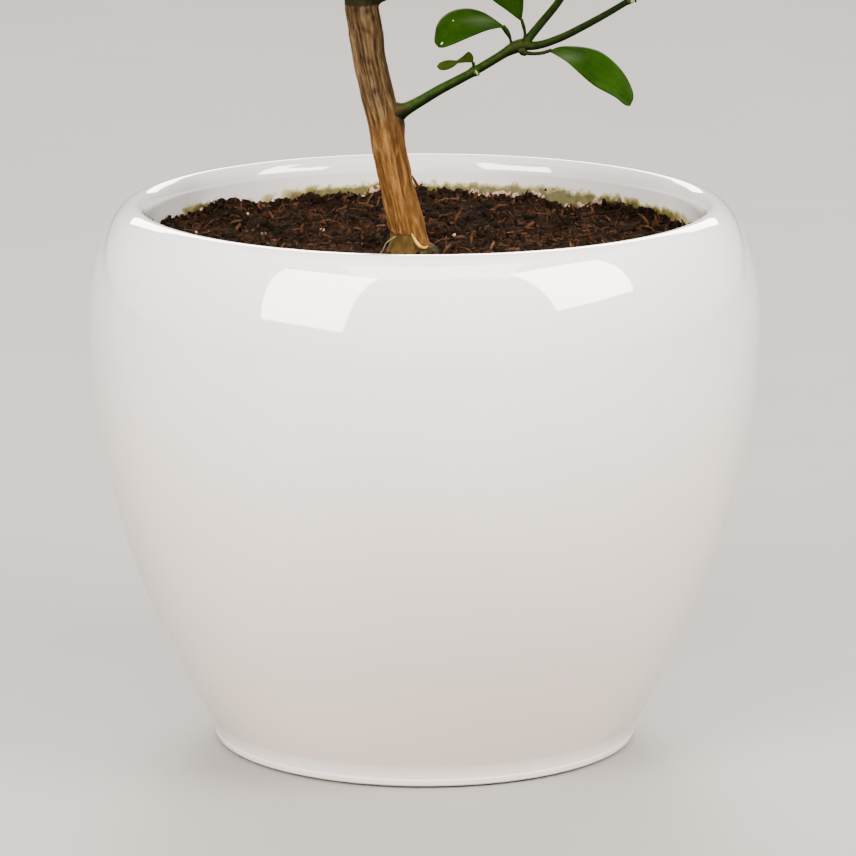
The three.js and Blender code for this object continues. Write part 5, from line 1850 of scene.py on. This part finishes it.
CAMERA = dict(place=(1.02, -1732.3, 484.5), pitch=0.2167, lens=226.9, sensor=36, sees_to=100)
FLOOR = dict(radius=9000, rings=12, segments=64, below=0.02)
WARM = (1.0, 0.945, 0.885)
# Soft boxes: aim, angles round from the front and up, distance, width and height, power.
SOFT_BOXES = dict(
    softbox_left=((0, -60, 165), -43, 31, 1400, (800, 950), 49),
    softbox_right=((0, -60, 165), 64, 35, 1400, (820, 850), 48),
    softbox_front=((0, 0, 250), 5, 62, 2600, (2200, 1400), 58),
    softbox_back=((0, 0, 220), 180, 25, 2400, (2600, 700), 95),
)
SKY = dict(colour=(1.0, 0.975, 0.94, 1), strength=0.84)


def make_stage():
    """A plain, warm grey floor, finer towards its middle, just under the pot."""
    look = Look("floor", 0.6)
    look.colour(look.ramp(look.noise(90, 3), (0.3, (0.268, 0.256, 0.241)),
                          (0.7, (0.282, 0.270, 0.255))))
    rings, segments = FLOOR["rings"], FLOOR["segments"]
    profile = [(FLOOR["radius"] * (i / rings) ** 2, 0) for i in range(1, rings + 1)]
    points, faces = turned(profile, segments)
    middle = fan(len(points), np.arange(segments))
    points = np.concatenate([points, [[0, 0, 0]]])
    points[:, 2] -= FLOOR["below"]
    floor = make_piece("floor", points, [faces[:, ::-1], middle], look.material, None)


def add_light(name, aim, azimuth, elevation, distance, size, power):
    """A soft box, placed round an aim by angles from the front and from level."""
    data = bpy.data.lights.new(name, "AREA")
    data.shape = "RECTANGLE"
    data.size, data.size_y = (s * MM for s in size)
    data.energy, data.color = power, WARM
    lamp = bpy.data.objects.new(name, data)
    turn, rise = math.radians(azimuth), math.radians(elevation)
    way = np.array((math.sin(turn) * math.cos(rise), -math.cos(turn) * math.cos(rise),
                    math.sin(rise)))
    lamp.location = (vec(aim) + way * distance) * MM
    lamp.rotation_euler = Vector(way).to_track_quat("Z", "Y").to_euler()
    bpy.context.scene.collection.objects.link(lamp)


def make_lights():
    for name, values in SOFT_BOXES.items():
        add_light(name, *values)
    world = bpy.data.worlds.new("studio")
    world.use_nodes = True
    sky = world.node_tree.nodes["Background"]
    sky.inputs["Color"].default_value = SKY["colour"]
    sky.inputs["Strength"].default_value = SKY["strength"]
    bpy.context.scene.world = world


def make_camera():
    data = bpy.data.cameras.new("camera")
    data.lens, data.sensor_width = CAMERA["lens"], CAMERA["sensor"]
    data.clip_end = CAMERA["sees_to"]
    camera = bpy.data.objects.new("camera", data)
    camera.location = vec(CAMERA["place"]) * MM
    camera.rotation_euler = (math.pi / 2 - CAMERA["pitch"], 0, 0)
    bpy.context.scene.collection.objects.link(camera)
    bpy.context.scene.camera = camera


# ---------------------------------------------------------------- everything together

def make_looks():
    leaves = [("leaf deep", (0.0055, 0.026, 0.0018), (0.011, 0.044, 0.0026)),
              ("leaf mid", (0.010, 0.042, 0.0022), (0.020, 0.068, 0.0035)),
              ("leaf fresh", (0.019, 0.066, 0.003), (0.034, 0.098, 0.0045)),
              ("leaf light", (0.034, 0.092, 0.0045), (0.056, 0.130, 0.007))]
    stems = dict(
        stem=("green stem", (0.008, 0.022, 0.001), (0.026, 0.052, 0.002)),
        twig=("young bark", (0.030, 0.030, 0.008), (0.075, 0.070, 0.022)),
        scar=("scar", (0.22, 0.22, 0.05), (0.36, 0.36, 0.12)),
        # Painted glints: the pale beads on the left leaf.
        painted_glint=("painted_glint", (0.42, 0.52, 0.28), (0.60, 0.68, 0.42), 0.2),
        strip=("peeled strip", (0.42, 0.21, 0.035), (0.68, 0.42, 0.095)),
        root=("thin root", (0.09, 0.07, 0.035), (0.19, 0.155, 0.085), 0.8),
    )
    blades = dict(
        underside=("leaf underside", (0.034, 0.075, 0.016), (0.055, 0.110, 0.026), 0.6, 0.1),
        # The near leaves' last colour is their painted sheen.
        near=("shoot leaf", (0.0068, 0.027, 0.0007), (0.0175, 0.051, 0.0012), 0.5, 0.03,
              (0.070, 0.100, 0.042)),
        dull=("small leaf", (0.016, 0.030, 0.002), (0.030, 0.049, 0.005), 0.65, 0.03),
    )
    return dict(leaves=[leaf_look(*values) for values in leaves], peel=peel_look(),
                **{key: stem_look(*values) for key, values in stems.items()},
                **{key: leaf_look(*values) for key, values in blades.items()})


def main():
    make_camera()
    make_stage()
    make_lights()
    make_pot()
    make_soil_bed()
    rng = np.random.default_rng(7)
    make_crumbs(rng)
    make_fibres(rng)
    make_pale_bits(rng)
    make_wall_crumbs(rng)
    looks, bark = make_looks(), bark_look()
    trunk, shoot, leader, boughs, masses = grow_limbs()
    make_trunk(trunk, leader, bark)
    make_boughs(boughs, bark)
    make_foot_details(looks)
    make_shoot(looks)
    make_near_leaves(looks)
    make_crown([trunk, shoot, leader, *boughs], masses, looks)


main()
